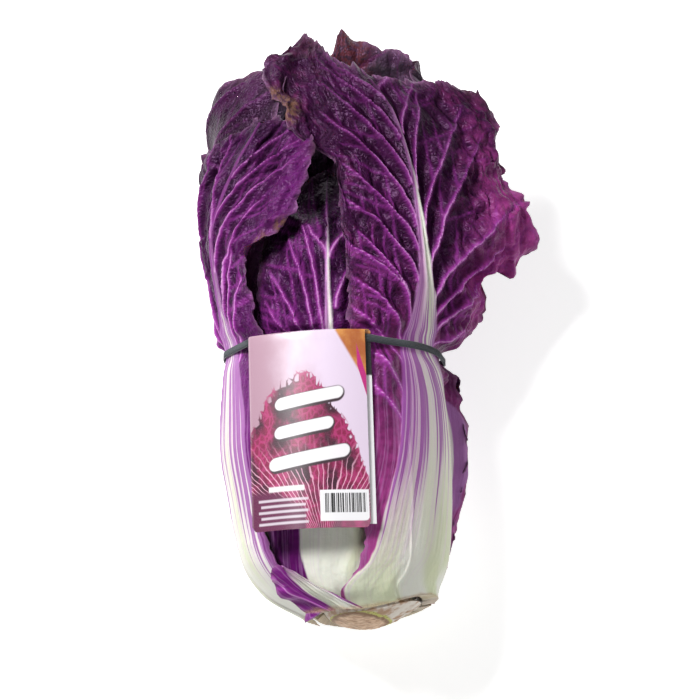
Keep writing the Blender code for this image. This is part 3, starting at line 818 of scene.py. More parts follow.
class LeafGrid:
    """The grid that a leaf is laid over: its rows follow each other along it, and v is -1 to 1 across it."""

    def __init__(self, leaf, inner_radius, outer_radius):
        self.leaf = leaf
        self.start, self.end = leaf.outline[0][0], leaf.outline[-1][0]
        self.v, self.midrib_column = self.even_places(outer_radius)
        self.share, self.angle = self.spot(self.v)
        self.points = on_head(outer_radius, self.share, self.angle)
        self.normals = grid_normals(self.points, direction(self.angle))
        self.thickness = sample(outer_radius - inner_radius, self.share, self.angle)
        travelled = row_lengths(self.points)
        self.across = travelled - travelled[:, self.midrib_column][:, None]
        self.along = self.share * HEAD_LENGTH
        self.side_room = np.where(self.v < 0, travelled, travelled[:, -1:] - travelled)
        self.end_room = (self.last_share(self.v) - self.share) * HEAD_LENGTH
        self.room = np.maximum(np.minimum(self.side_room, self.end_room), 0)

    def last_share(self, v):
        """Where the leaf ends."""
        if self.leaf.tip:
            return curve(self.leaf.tip, v)
        return self.end - self.leaf.rounding * np.abs(v) ** 2.6

    def spot(self, v):
        """Share and angle of the places v in every row."""
        leaf = self.leaf
        if leaf.root:
            first = curve(leaf.root, v)
        else:
            first = self.start + (leaf.rounding if self.start > 0.03 else 0.0) * np.abs(v) ** 3
        share = first + np.linspace(0, 1, leaf.rows)[:, None] * (self.last_share(v) - first)
        middle = curve(leaf.midrib, share)
        return share, middle + np.abs(v) * (sided(leaf.outline, share, v) - middle)

    def even_places(self, outer_radius):
        """v at even steps over each row, with one column on the midrib, and which column that is."""
        columns = self.leaf.columns
        fine = np.linspace(-1, 1, 4 * columns + 1)
        travelled = row_lengths(on_head(outer_radius, *self.spot(fine[None, :])))
        middle, whole = travelled[:, 2 * columns], travelled[:, -1]
        first = int(np.clip(round(columns * float(np.mean(middle / whole))), 12, columns - 12))
        places = []
        for way, half, full in zip(travelled, middle, whole):
            near = np.linspace(0, half, first, endpoint=False)
            beyond = np.linspace(half, full, columns + 1 - first)
            places.append(np.interp(np.concatenate([near, beyond]), way, fine))
        return np.array(places), first

    def half_width(self, side, at):
        """How wide the leaf is on one side of its midrib, at a share of the length."""
        last = self.leaf.rows - 1
        row = int(np.clip(round((at - self.start) / (self.end - self.start) * last), 0, last))
        return abs(self.across[row, 0] if side < 0 else self.across[row, -1])


def petiole_edges(grid):
    """How far inside its petiole each point lies, its half width, and the place across it from 0 to 1."""
    leaf, share = grid.leaf, grid.share
    if leaf.ribs:
        low, high = curve(leaf.ribs, share, 1), curve(leaf.ribs, share, 2)
    else:
        half = leaf.petiole_half * curve(NARROWING, share)
        middle = curve(leaf.midrib, share)
        low, high = middle - half, middle + half
    radius = np.linalg.norm(grid.points - axis_point(share), axis=-1)
    into = np.radians(np.minimum(grid.angle - low, high - grid.angle)) * radius
    half_rib = np.radians(high - low) / 2 * radius
    jagged = layered(grid.along / 0.022, grid.across / 0.006, leaf.seed + 3)
    into = into + np.minimum(0.0014, 0.3 * half_rib) * jagged
    return into, half_rib, (grid.angle - low) / np.maximum(high - low, 0.5)


def puffs(grid):
    """The puffs of a blade: the large ones, all with their wrinkles, the net between them, and slow rolls."""
    across, along, seed = grid.across, grid.along, grid.leaf.seed
    bend_x = 0.6 * noise(along / 0.010, across / 0.010, seed + 5)
    bend_y = 0.6 * noise(along / 0.010, across / 0.010, seed + 6)
    near, border, own = cells(across / 0.0080 + bend_x, along / 0.0115 + bend_y, seed + 8)
    large = (1 - (near / 0.75) ** 2) * (0.3 + 1.0 * own)
    near, fine_border, _ = cells(across / 0.0040 + 1.5 * bend_x, along / 0.0052 + 1.5 * bend_y, seed + 12)
    small = 1 - (near / 0.75) ** 2
    wrinkle = 1 - np.abs(layered(across / 0.010 + bend_x, along / 0.016 + bend_y, seed + 15, 2)) * 2.5
    web = np.maximum(0.8 * np.exp(-((border / 0.10) ** 2)), 0.45 * np.exp(-((fine_border / 0.14) ** 2)))
    roll = layered(across / 0.018, along / 0.028, seed + 17, 2)
    return large, large - 0.4 + 0.34 * small + 0.5 * wrinkle, web, roll


def ruffles(grid, hidden):
    """How far the margins ruffle up, less where other leaves lie on them."""
    across, along, seed = grid.across, grid.along, grid.leaf.seed
    wave = 0.7 * noise(along / 0.011 + across / 0.02, across / 0.03, seed + 31)
    wave += 0.5 * noise(along / 0.005, across / 0.008, seed + 32)
    amount = sided(grid.leaf.ruffle, grid.share, grid.v)
    return amount * (wave + 0.35) * np.exp(-grid.room / 0.009) * (1 - 0.5 * hidden)


def torn_margins(grid):
    """How far the notched and torn margins move every point, sideways and lengthways."""
    leaf, v = grid.leaf, grid.v
    notch = sided(leaf.notches, grid.share, v) * np.exp(-grid.side_room / 0.012)
    torn = layered(grid.along / 0.0045, grid.across / 0.0045, leaf.seed + 41)
    torn = torn + 0.7 * noise(grid.along / 0.0095, grid.across / 0.02, leaf.seed + 43)
    torn = torn * leaf.ragged * smoothstep(0.02, 0.12, grid.share)
    wider = (notch + torn * np.exp(-grid.side_room / 0.003)) * np.minimum(1, np.abs(v) * 4)
    longer = torn * 1.5 * np.exp(-np.maximum(grid.end_room, 0) / 0.004)
    sideways = unit(np.gradient(grid.points, axis=1)) * np.where(v < 0, -1.0, 1.0)[..., None]
    lengthways = unit(np.gradient(grid.points, axis=0))
    return sideways * wider[..., None], lengthways * longer[..., None]


def under_card(points, angle):
    """1 where the card lies over a point, fading out beside it."""
    card_x = np.abs(points[..., 0] - SHIFT[0] - TAG_CENTRE_X)
    covered = smoothstep(TAG_WIDTH / 2 + 0.010, TAG_WIDTH / 2 + 0.004, card_x)
    covered = covered * smoothstep(-0.004, 0.0, points[..., 1] - band_y_of(TAG_LENGTH))
    covered = covered * smoothstep(0.010, 0.004, points[..., 1] - band_y_of(0))
    return covered * (angle > 0) * (angle < 180)


def scorching(grid, points):
    """1 in the middle of a scorched patch, 0 away from all of them."""
    scorched = np.zeros(grid.share.shape)
    for at, place, radius in grid.leaf.patches:
        row = int(np.argmin(np.abs(grid.share[:, grid.midrib_column] - at)))
        column = int(np.argmin(np.abs(grid.v[row] - place)))
        away = np.linalg.norm(points - points[row, column], axis=-1)
        scorched = np.maximum(scorched, np.exp(-((away / radius) ** 2)))
    return scorched


def tints(grid, rib_place):
    """Painted values that only the place on the leaf decides: its tints, its cut end and its wet part."""
    leaf, share, across, along = grid.leaf, grid.share, grid.across, grid.along
    stripe = 1.3 * np.exp(-(((rib_place - 0.30) / 0.10) ** 2))
    mottled = smoothstep(-0.2, 1, noise(across / 0.016, along / 0.08, leaf.seed + 51))
    uneven = share + 0.003 * noise(across / 0.004, along / 0.01, leaf.seed + 60)
    blemished = smoothstep(0.2, 0.7, noise(along / 0.02, across / 0.02, leaf.seed + 52))
    drizzled = smoothstep(0.1, 0.5, noise(along / 0.006, across / 0.006, 77))
    return {
        "run": curve(leaf.streaked, share),
        "flush": np.maximum(
            smoothstep(0.36, 0.50, share) * smoothstep(0.35, 0.75, rib_place),
            curve(leaf.blush, share) * smoothstep(0.58, 0.95, rib_place),
        ),
        "cut": (1 - smoothstep(0.001, 0.008, uneven)) * smoothstep(-0.006, -0.001, share),
        "lively": leaf.faint * (0.18 + 0.82 * smoothstep(0.92, 0.42, share)),
        "edge": np.exp(-grid.room / 0.0016),
        "green": curve(leaf.green, share) * np.clip(mottled + stripe * smoothstep(0.03, 0.10, share), 0, 1.2),
        "worn": curve(leaf.worn, share) + np.exp(-grid.room / 0.004) * blemished,
        "wet": smoothstep(0.84, 0.88, share) * (grid.room > 0.004) * drizzled,
    }


def leaf_piece(leaf, laid, covered):
    """One leaf: laid surface, margin, ruffles, puffs between the veins, ridges, and painted values."""
    inner_radius, outer_radius, _ = laid[leaf.name]
    grid = LeafGrid(leaf, inner_radius, outer_radius)
    share, along = grid.share, grid.along
    hidden = sample(covered[leaf.name], share, grid.angle)
    free = 1 - 0.75 * hidden
    wing = smoothstep(0.24, 0.46, share)
    into, half_rib, rib_place = petiole_edges(grid)
    rib = smoothstep(-0.0006, 0.0006, into)
    blade = 1 - rib
    vein, ridge, away = vein_strength(vein_paths(leaf, grid.half_width), along, grid.across)
    away = np.minimum(away, np.maximum(-into, 0))

    # The blade puffs up between its veins, and the petiole is finely ribbed.
    swell, crinkle, web, roll = puffs(grid)
    calm = smoothstep(0.0, 0.005, -into) * free * (0.15 + 0.85 * wing)
    lit = sided(leaf.lit, share, grid.v) * smoothstep(0.3, 0.95, np.abs(grid.v))
    lift = calm * (leaf.puff * crinkle + 0.0026 * roll) * (1 - 0.8 * ridge) * (1 + 1.1 * lit)
    lift += blade * free * 0.0010 * ridge * (0.3 + 0.7 * wing)
    lift += rib * free * 0.00022 * layered(rib_place * 22, along / 0.09, leaf.seed + 20, 2)
    lift += rib * free * 0.0006 * noise(rib_place * 6, along / 0.15, leaf.seed + 21)

    # Veins stand out of deep folds near the midrib, and flatten out toward the margins.
    opened = smoothstep(BAND_SHARE, BAND_SHARE + 0.12, share)
    opened = opened + (wing - opened) * smoothstep(0.0, 0.012, -into)
    fold = free * opened * (0.35 + 0.65 * smoothstep(0.0, 0.030, grid.room))
    peak = np.exp(-away / 0.0038)
    lift += leaf.pleat * fold * np.where(rib > 0.5, 1.0, peak)
    lift += ruffles(grid, hidden)

    # Nothing stands up under the band or under the card.
    lift = lift * (1 - 0.92 * (1 - smoothstep(0.003, 0.011, np.abs(share - BAND_SHARE) * HEAD_LENGTH)))
    points = grid.points
    for moved in torn_margins(grid):
        points = points + moved
    lift = np.where(lift > 0, lift * (1 - under_card(points, grid.angle)), lift)
    points = points + grid.normals * lift[..., None]
    points[..., 1] += base_rise(points[..., 0] - SHIFT[0], points[..., 2], share)
    points[..., 2] = np.maximum(points[..., 2], LOWEST_FACE)

    # The sheet thins out toward its margins.
    thin = (grid.thickness - MARGIN_THICKNESS) * smoothstep(0, 0.006, grid.side_room)
    thin = MARGIN_THICKNESS + thin * smoothstep(0, 0.006, grid.end_room)
    thin = np.where(blade > 0.5, np.minimum(thin, grid.thickness), thin)
    inner = points - grid.normals * thin[..., None]
    inner[..., 2] = np.maximum(inner[..., 2], LOWEST_BACK)

    cream = curve(leaf.cream, share)
    # The lit table adds painted light, painting the blade brighter toward its margins.
    vivid = curve(leaf.vivid, share) * (1 + 0.35 * smoothstep(-0.022, 0.0, into)) + lit
    shades = {
        "rib": rib,
        "core": np.clip(into / np.minimum(0.020, 0.8 * half_rib + 1e-4), 0, 1),
        "cream": rib * cream,
        "wing": wing,
        "patch": scorching(grid, points),
        # Painted shade in the folds between the veins near the midrib, where the blade is also a darker
        # purple.
        "deep": (1 - peak) * fold * smoothstep(0.045, 0.006, np.maximum(-into, 0)),
        # Painted shade in the hollows between the puffs; the same mask also makes them rougher.
        "hollow": smoothstep(0.35, -0.75, crinkle + 0.6 * roll) * calm,
        "vein": np.maximum(vein, 0.6 * rib * (1 - cream)),
        "web": web * blade * (1 + 4 * lit),
        "vivid": np.clip(vivid, -0.3, 1.3),
        # A painted highlight: lighter violet laid on the crests of the large puffs.
        "swell": swell * calm,
        **tints(grid, rib_place),
    }
    maps = {
        "leaf_map": np.stack([grid.across, along], axis=-1) * 10,
        "rib_map": np.stack([rib_place, along * 10], axis=-1),
    }
    return closed_sheet(leaf.name + "_detail", points, inner, maps, shades)


def plain_piece(name, points, faces, uv=None, shades=None, sharp=60):
    """A mesh piece from lists of points and faces, with a map at its points and painted values."""
    mesh = bpy.data.meshes.new(name)
    faces = [tuple(map(int, face)) for face in faces]
    mesh.from_pydata(np.asarray(points, float).tolist(), [], faces)
    if uv is not None:
        corners = np.concatenate(faces)
        layer = mesh.uv_layers.new(name="card_map")
        layer.data.foreach_set("uv", np.asarray(uv, np.float32)[corners].ravel())
    for shade, values in (shades or {}).items():
        layer = mesh.attributes.new(shade, "FLOAT", "POINT")
        layer.data.foreach_set("value", np.asarray(values, np.float32))
    bm = bmesh.new()
    bm.from_mesh(mesh)
    bmesh.ops.recalc_face_normals(bm, faces=bm.faces)
    bm.to_mesh(mesh)
    bm.free()
    mesh.shade_smooth()
    mesh.set_sharp_from_angle(angle=math.radians(sharp))
    return new_piece(name, mesh)


def tube_faces(rings, around, closed_loop=False):
    """Faces between rings of points that follow each other; the ends are capped, or meet in a loop."""
    faces = []
    for ring in range(rings if closed_loop else rings - 1):
        a, b = ring * around, (ring + 1) % rings * around
        for place in range(around):
            after = (place + 1) % around
            faces.append((a + place, a + after, b + after, b + place))
    if not closed_loop:
        faces.append(tuple(range(around)))
        faces.append(tuple(range((rings - 1) * around, rings * around)))
    return faces


# --- stem and heart --------------------------------------------------------------------------------------

# How far the cut face bulges, and the dark ring on it: where its middle lies, its half width and half height.
CUT_DOME = 0.0050
CUT_RING = (-0.0065, 0.0170, 0.0235)


def stem_piece(outline):
    """The stem: a cut base, slightly domed and torn, and a taper that the leaves are fixed around."""
    around = 144
    angles = np.arange(around) * 360.0 / around
    base = CORE_RADIUS * sample(outline, np.zeros(around), angles) / outline[0, 0]
    points, ring, rough = [], [], []
    for part in np.linspace(0.02, 1, 34):
        spot = raw_axis(np.zeros(around)) + (base * part)[:, None] * direction(angles)
        x, z = spot[:, 0], spot[:, 2]
        torn = layered(x / 0.0035, z / 0.0035, 301, 4)
        spot[:, 1] -= CUT_DOME * (1 - part**2.2) + 0.0007 * torn * min(1, 3 * (1 - part))
        spot[:, 1] += base_rise(x, z, 0.0)
        points.append(spot + SHIFT)
        ring.append(np.hypot((x - CUT_RING[0]) / CUT_RING[1], (z - AXIS_HEIGHT) / CUT_RING[2]))
        rough.append(torn)
    for share in np.linspace(0.004, 0.25, 30):
        narrow = float(curve(((0, 1), (0.05, 0.95), (0.10, 0.78), (0.17, 0.5), (0.25, 0.16)), share))
        here = np.full(around, share)
        spot = raw_axis(here) + (base * narrow)[:, None] * direction(angles)
        spot[:, 1] += base_rise(spot[:, 0], spot[:, 2], share)
        points.append(spot + SHIFT)
        ring.append(np.full(around, 2.0))
        rough.append(np.zeros(around))
    faces = tube_faces(len(points), around)
    return plain_piece(
        "stem_detail", np.concatenate(points), faces,
        shades={"ring": np.concatenate(ring), "torn": np.concatenate(rough)},
    )


def heart_piece():
    """The folded bud of the youngest leaves, at the end of the stem."""
    around = 72
    angles = np.arange(around) * 360.0 / around
    points = []
    for share in np.linspace(0.345, 0.615, 40):
        size = HEART_RADIUS * float(curve(((0.34, 0.6), (0.40, 1), (0.52, 0.9), (0.62, 0.30)), share))
        turn = np.radians(angles) * 5 + share * 40
        folded = size * (0.92 + 0.06 * np.sin(turn) + 0.04 * np.sin(2.3 * turn + 1.0))
        points.append(axis_point(np.full(around, share)) + folded[:, None] * direction(angles))
    faces = tube_faces(len(points), around)
    across = np.tile(angles / 360, len(points))
    along = np.repeat(np.linspace(0, 1, len(points)), around)
    return plain_piece("heart_detail", np.concatenate(points), faces, uv=np.stack([across, along], axis=1))


# --- tag and band ----------------------------------------------------------------------------------------


def tag_heights():
    """Peak heights of the tag's back and front panels, read from the solid model's box."""
    low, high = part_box("hang_tag")
    peak_x = axis_point(BAND_SHARE)[0]
    back = low.z + (low.x - peak_x) ** 2 / (2 * TAG_BEND_RADIUS)
    return back + CARD_THICKNESS, high.z


def card_height(x, peak):
    """Height of a panel bent gently over the head."""
    return peak - (x - axis_point(BAND_SHARE)[0]) ** 2 / (2 * TAG_BEND_RADIUS)


# The card's rounded corners, how much its front panel curls and how far its back panel sticks out aside.
CARD_CORNER = 0.003
CARD_CURL = 0.0012
BACK_ASIDE = 0.0030


def card_path(lift):
    """Steps (along, raised, panel) from the back panel's free end round the fold to the front's."""
    path = [(-TAG_BACK_LENGTH * (1 - part), 0.0, 0) for part in np.linspace(0, 1, 40)]
    fold_start = BAND_WIDTH / 2 + CARD_GAP
    for turn in np.linspace(0, math.pi, 14):
        path.append((fold_start + lift / 2 * math.sin(turn), lift / 2 * (1 - math.cos(turn)), 1))
    return path + [(-TAG_LENGTH * part, lift, 2) for part in np.linspace(0.01, 1, 50)]


def card_faces(rows, columns):
    """Faces of the card's two grids and of the rim between them."""
    count = rows * columns
    faces = []
    for row in range(rows - 1):
        for place in range(columns - 1):
            a = row * columns + place
            faces.append((a, a + 1, a + columns + 1, a + columns))
            faces.append((a + count, a + columns + count, a + columns + 1 + count, a + 1 + count))
    rim = grid_rim(np.arange(count).reshape(rows, columns))
    for start, end in zip(rim, np.roll(rim, -1)):
        faces.append((start, end, end + count, start + count))
    return faces


def tag_piece():
    """The folded card: a back panel under the band, a fold, and a printed front panel."""
    back, front = tag_heights()
    lift = front - back
    band_y = axis_point(BAND_SHARE)[1]
    path = card_path(lift)
    columns = 41
    outer, inner, uv, panel = [], [], [], []
    for row, (along, raised, part) in enumerate(path):
        ahead = np.subtract(path[min(row + 1, len(path) - 1)][:2], path[max(row - 1, 0)][:2])
        out = np.array([ahead[1], -ahead[0]]) / np.linalg.norm(ahead)
        reach_down = min(max(-along / TAG_LENGTH, 0), 1)
        for across in np.arange(columns) / (columns - 1) - 0.5:
            side = across * TAG_WIDTH
            if part < 2:
                side += BACK_ASIDE * (1 - raised / lift)
                short, curl = 0.0, 0.0
            else:
                # The front panel's free corners are rounded, and it curls a little.
                corner = max(0.0, abs(side) - (TAG_WIDTH / 2 - CARD_CORNER))
                short = CARD_CORNER - math.sqrt(max(CARD_CORNER**2 - corner**2, 0))
                curl = CARD_CURL * math.sin(2.2 * math.pi * (across + 0.3)) * reach_down**2
            y_along = along + short * smoothstep(0.9, 1.0, reach_down)
            for thickness, sheet in ((0.0, outer), (CARD_THICKNESS, inner)):
                reach = y_along - out[0] * thickness
                x = TAG_CENTRE_X + SHIFT[0] + side * math.cos(TAG_TURN) - reach * math.sin(TAG_TURN)
                y = band_y + reach * math.cos(TAG_TURN) + side * math.sin(TAG_TURN)
                height = card_height(x, back) + raised + curl - out[1] * thickness
                sheet.append((x, y, height))
            uv.append((across + 0.5, 1 + along / TAG_LENGTH))
            panel.append(float(part))
    faces = card_faces(len(path), columns)
    return plain_piece("tag_detail", outer + inner, faces, uv=uv + uv, shades={"panel": panel + panel})


def tight_loop(points):
    """The corners of a loop pulled tight around points (x, z)."""

    def half_loop(ordered):
        chain = []
        for point in ordered:
            while len(chain) > 1:
                edge, turn = np.subtract(chain[-1], chain[-2]), np.subtract(point, chain[-2])
                if edge[0] * turn[1] - edge[1] * turn[0] > 0:
                    break
                chain.pop()
            chain.append(point)
        return chain[:-1]

    ordered = sorted(points)
    return np.array(half_loop(ordered) + half_loop(ordered[::-1]))


def even_loop(corners, count):
    """A closed loop read again at even steps and rounded a little."""
    closed = np.concatenate([corners, corners[:1]])
    travelled = np.concatenate([[0], np.cumsum(np.linalg.norm(np.diff(closed, axis=0), axis=1))])
    wanted = np.linspace(0, travelled[-1], count, endpoint=False)
    loop = np.stack([np.interp(wanted, travelled, closed[:, axis]) for axis in (0, 1)], axis=1)
    for _ in range(6):
        loop = (np.roll(loop, 1, axis=0) + 2 * loop + np.roll(loop, -1, axis=0)) / 4
    return loop


def band_path(count):
    """Points of the band's inner face, with the direction along it and away from the head."""
    back, _ = tag_heights()
    centre = axis_point(BAND_SHARE)
    points = []
    for angle in range(0, 360, 2):
        near = BAND_SHARE + np.array([-1, 0, 1]) * BAND_WIDTH / 2 / HEAD_LENGTH
        radius = float(np.max(sample(reached, near, np.full(3, float(angle))))) + 0.0006
        spot = centre + radius * direction(float(angle))
        points.append((spot[0], max(spot[2], 0.0004)))
    for x in np.linspace(-TAG_WIDTH / 2, TAG_WIDTH / 2 + 0.003, 12) + TAG_CENTRE_X + SHIFT[0]:
        points.append((x, card_height(x, back) + 0.0003))
    loop = even_loop(tight_loop(points), count)
    along = unit(np.roll(loop, -1, axis=0) - np.roll(loop, 1, axis=0))
    out = np.stack([along[:, 1], -along[:, 0]], axis=1)
    spots = np.stack([loop[:, 0], np.full(count, centre[1]), loop[:, 1]], axis=1)
    away = np.stack([out[:, 0], np.zeros(count), out[:, 1]], axis=1)
    return spots, away


def band_piece():
    """A flat woven elastic with five soft cords along it."""
    spots, away = band_path(BAND_STEPS)
    section = []
    for part in np.linspace(-1, 1, 31):
        cord = 0.72 + 0.28 * math.cos(5 * math.pi * part)
        section.append((part * BAND_WIDTH / 2, BAND_THICKNESS * cord * (1 - 0.6 * abs(part) ** 8)))
    section += [(BAND_WIDTH / 2, 0.0), (0.0, 0.0), (-BAND_WIDTH / 2, 0.0)]
    width = np.array([0.0, 1.0, 0.0])
    wander = 0.0006 * noise(np.arange(len(spots)) / 25.0, np.zeros(len(spots)), 401)
    rings = [
        [spot + width * (side + drift) + out * height for side, height in section]
        for spot, out, drift in zip(spots, away, wander)
    ]
    faces = tube_faces(len(rings), len(section), closed_loop=True)
    return plain_piece("band_detail", np.concatenate(rings), faces, sharp=80)


class Grower:
    """A Geometry Nodes tree made one call at a time."""

    def __init__(self, name, **sizes):
        self.tree = bpy.data.node_groups.new(name, "GeometryNodeTree")
        self.tree.interface.new_socket("Geometry", in_out="INPUT", socket_type="NodeSocketGeometry")
        self.sizes = {}
        for size, value in sizes.items():
            kind = "NodeSocketInt" if isinstance(value, int) else "NodeSocketFloat"
            made = self.tree.interface.new_socket(size, in_out="INPUT", socket_type=kind)
            self.sizes[made.identifier] = value
        self.tree.interface.new_socket("Geometry", in_out="OUTPUT", socket_type="NodeSocketGeometry")
        self.source = self.tree.nodes.new("NodeGroupInput")
        self.sink = self.tree.nodes.new("NodeGroupOutput")

    def node(self, kind, settings=None, **inputs):
        made = self.tree.nodes.new(kind)
        for key, value in (settings or {}).items():
            setattr(made, key, value)
        for key, value in inputs.items():
            socket = made.inputs[key.replace("_", " ")]
            if isinstance(value, bpy.types.NodeSocket):
                self.tree.links.new(value, socket)
            else:
                socket.default_value = value
        return made

    def grow(self, piece, geometry, material):
        """Realize the instances, set their material, and turn the result into a plain mesh piece."""
        real = self.node("GeometryNodeRealizeInstances", Geometry=geometry)
        dressed = self.node("GeometryNodeSetMaterial", Geometry=real.outputs[0])
        dressed.inputs["Material"].default_value = material
        self.tree.links.new(dressed.outputs[0], self.sink.inputs[0])
        modifier = piece.modifiers.new("grow", "NODES")
        modifier.node_group = self.tree
        for identifier, value in self.sizes.items():
            modifier[identifier] = value
        graph = bpy.context.evaluated_depsgraph_get()
        mesh = bpy.data.meshes.new_from_object(piece.evaluated_get(graph))
        piece.modifiers.remove(modifier)
        piece.data = mesh
        return piece


def point_piece(name, spots, vectors):
    """Loose points with direction vectors stored on them."""
    mesh = bpy.data.meshes.new(name)
    mesh.from_pydata([tuple(map(float, spot)) for spot in spots], [], [])
    for key, values in vectors.items():
        layer = mesh.attributes.new(key, "FLOAT_VECTOR", "POINT")
        layer.data.foreach_set("vector", np.asarray(values).ravel())
    return new_piece(name, mesh)


def band_ribs(material):
    """The weft threads that cross the elastic, one at each step along it."""
    spots, away = band_path(THREADS)
    piece = point_piece("band_threads", spots + away * (BAND_THICKNESS * 0.9), {"away": away})
    g = Grower("weft_threads", Length=BAND_WIDTH * 0.92, Radius=0.00016)
    thread = g.node(
        "GeometryNodeMeshCylinder", Vertices=8,
        Radius=g.source.outputs["Radius"], Depth=g.source.outputs["Length"],
    )
    smooth = g.node("GeometryNodeSetShadeSmooth", Geometry=thread.outputs["Mesh"])
    upright = g.node("FunctionNodeAlignRotationToVector", settings={"axis": "Z"}, Vector=(0.0, 1.0, 0.0))
    outward = g.node("GeometryNodeInputNamedAttribute", settings={"data_type": "FLOAT_VECTOR"}, Name="away")
    facing = g.node(
        "FunctionNodeAlignRotationToVector", settings={"axis": "X", "pivot_axis": "Z"},
        Rotation=upright.outputs[0], Vector=outward.outputs[0],
    )
    placed = g.node(
        "GeometryNodeInstanceOnPoints", Points=g.source.outputs[0], Instance=smooth.outputs[0],
        Rotation=facing.outputs[0], Scale=(0.7, 1.0, 1.0),
    )
    return g.grow(piece, placed.outputs[0], material)


def water_drops(leaf_mesh, material):
    """Small drops of water lying on the upper part of a leaf."""
    piece = new_piece("water_drops", leaf_mesh.copy())
    g = Grower("drops", Density=60000.0, Size=0.0009, Seed=7)
    wet = g.node("GeometryNodeInputNamedAttribute", settings={"data_type": "FLOAT"}, Name="wet")
    density = g.node("ShaderNodeMath", settings={"operation": "MULTIPLY"})
    g.tree.links.new(wet.outputs[0], density.inputs[0])
    g.tree.links.new(g.source.outputs["Density"], density.inputs[1])
    scattered = g.node(
        "GeometryNodeDistributePointsOnFaces", Mesh=g.source.outputs[0], Density=density.outputs[0],
        Seed=g.source.outputs["Seed"],
    )
    drop = g.node("GeometryNodeMeshIcoSphere", Radius=g.source.outputs["Size"], Subdivisions=3)
    smooth = g.node("GeometryNodeSetShadeSmooth", Geometry=drop.outputs["Mesh"])
    sizes = g.node(
        "FunctionNodeRandomValue", settings={"data_type": "FLOAT_VECTOR"}, Min=(0.45, 0.45, 0.30),
        Max=(1.1, 1.0, 0.55), Seed=g.source.outputs["Seed"],
    )
    placed = g.node(
        "GeometryNodeInstanceOnPoints", Points=scattered.outputs["Points"], Instance=smooth.outputs[0],
        Rotation=scattered.outputs["Rotation"], Scale=sizes.outputs[0],
    )
    return g.grow(piece, placed.outputs[0], material)


# --- materials -------------------------------------------------------------------------------------------


class Shader:
    """A material's nodes, made one call at a time."""

    def __init__(self, name):
        self.material = bpy.data.materials.new(name)
        self.material.use_nodes = True
        self.tree = self.material.node_tree
        self.surface = self.tree.nodes["Principled BSDF"]

    def put(self, socket, value):
        if isinstance(value, bpy.types.NodeSocket):
            self.tree.links.new(value, socket)
        elif isinstance(value, tuple) and len(value) == 3 and socket.type == "RGBA":
            socket.default_value = (*value, 1)
        else:
            socket.default_value = value

    def node(self, kind, output=0, settings=None, **inputs):
        made = self.tree.nodes.new("ShaderNode" + kind)
        for key, value in (settings or {}).items():
            setattr(made, key, value)
        for key, value in inputs.items():
            self.put(made.inputs[key.replace("_", " ")], value)
        return made.outputs[output]

    def shade(self, name):
        return self.node("Attribute", output="Fac", settings={"attribute_name": name})

    def math(self, operation, first, second=0.0, third=None, clamp=False):
        made = self.tree.nodes.new("ShaderNodeMath")
        made.operation = operation
        made.use_clamp = clamp
        self.put(made.inputs[0], first)
        self.put(made.inputs[1], second)
        if third is not None:
            self.put(made.inputs[2], third)
        return made.outputs[0]

    def times(self, first, second):
        return self.math("MULTIPLY", first, second)

    def plus(self, first, second):
        return self.math("ADD", first, second)

    def minus(self, first, second):
        return self.math("SUBTRACT", first, second)

    def linear(self, value, slope, start):
        return self.math("MULTIPLY_ADD", value, slope, start)

    def clouds(self, vector, scale, detail):
        """Soft noise, from 0 to 1."""
        return self.node("TexNoise", output="Fac", Vector=vector, Scale=scale, Detail=detail)

    def cracks(self, vector, scale):
        """The distance to the nearest border of a net of cells."""
        borders = {"feature": "DISTANCE_TO_EDGE"}
        return self.node("TexVoronoi", output="Distance", settings=borders, Vector=vector, Scale=scale)

    def mix(self, part, first, second):
        made = self.tree.nodes.new("ShaderNodeMix")
        made.data_type = "RGBA"
        made.clamp_factor = True
        self.put(made.inputs["Factor"], part)
        self.put(made.inputs[6], first)
        self.put(made.inputs[7], second)
        return made.outputs[2]

    def ramp(self, value, low, high, to_low=0.0, to_high=1.0):
        made = self.tree.nodes.new("ShaderNodeMapRange")
        made.interpolation_type = "SMOOTHSTEP"
        for place, number in enumerate((value, low, high, to_low, to_high)):
            self.put(made.inputs[place], number)
        return made.outputs[0]

    def scaled(self, vector, sizes):
        made = self.tree.nodes.new("ShaderNodeVectorMath")
        made.operation = "MULTIPLY"
        self.put(made.inputs[0], vector)
        made.inputs[1].default_value = sizes
        return made.outputs[0]

    def finish(self, colour, roughness, height=None, depth=0.001, strength=0.6, **constants):
        self.put(self.surface.inputs["Base Color"], colour)
        self.put(self.surface.inputs["Roughness"], roughness)
        if height is not None:
            bump = self.tree.nodes.new("ShaderNodeBump")
            bump.inputs["Strength"].default_value = strength
            bump.inputs["Distance"].default_value = depth
            self.put(bump.inputs["Height"], height)
            self.put(self.surface.inputs["Normal"], bump.outputs[0])
        for key, value in constants.items():
            self.surface.inputs[key.replace("_", " ")].default_value = value
        return self.material


# The leaves' colours.
# The next colour is a painted highlight, laid on the crests of the puffs.
CREST_HIGHLIGHT_VIOLET = (0.22, 0.035, 0.21)
VEIN_DARK = (0.05, 0.006, 0.045)
VEIN_VIOLET = (0.36, 0.045, 0.36)
VEIN_PALE = (0.66, 0.36, 0.64)
COMBED_LILAC = (0.45, 0.22, 0.46)
EDGE_MAUVE = (0.26, 0.13, 0.24)
PETIOLE_WHITE = (0.66, 0.67, 0.59)
PETIOLE_GREEN = (0.45, 0.52, 0.22)
FLUSH_VIOLET = (0.38, 0.07, 0.38)
STREAK_LILAC = (0.60, 0.42, 0.62)
STREAK_VIOLET = (0.25, 0.045, 0.28)
SCORCH_BROWN = (0.14, 0.070, 0.045)
SCORCH_RED = (0.085, 0.018, 0.022)
WORN_BROWN = (0.034, 0.018, 0.016)
BRUISE_TAN = (0.52, 0.36, 0.20)
BRUISE_BROWN = (0.24, 0.13, 0.06)


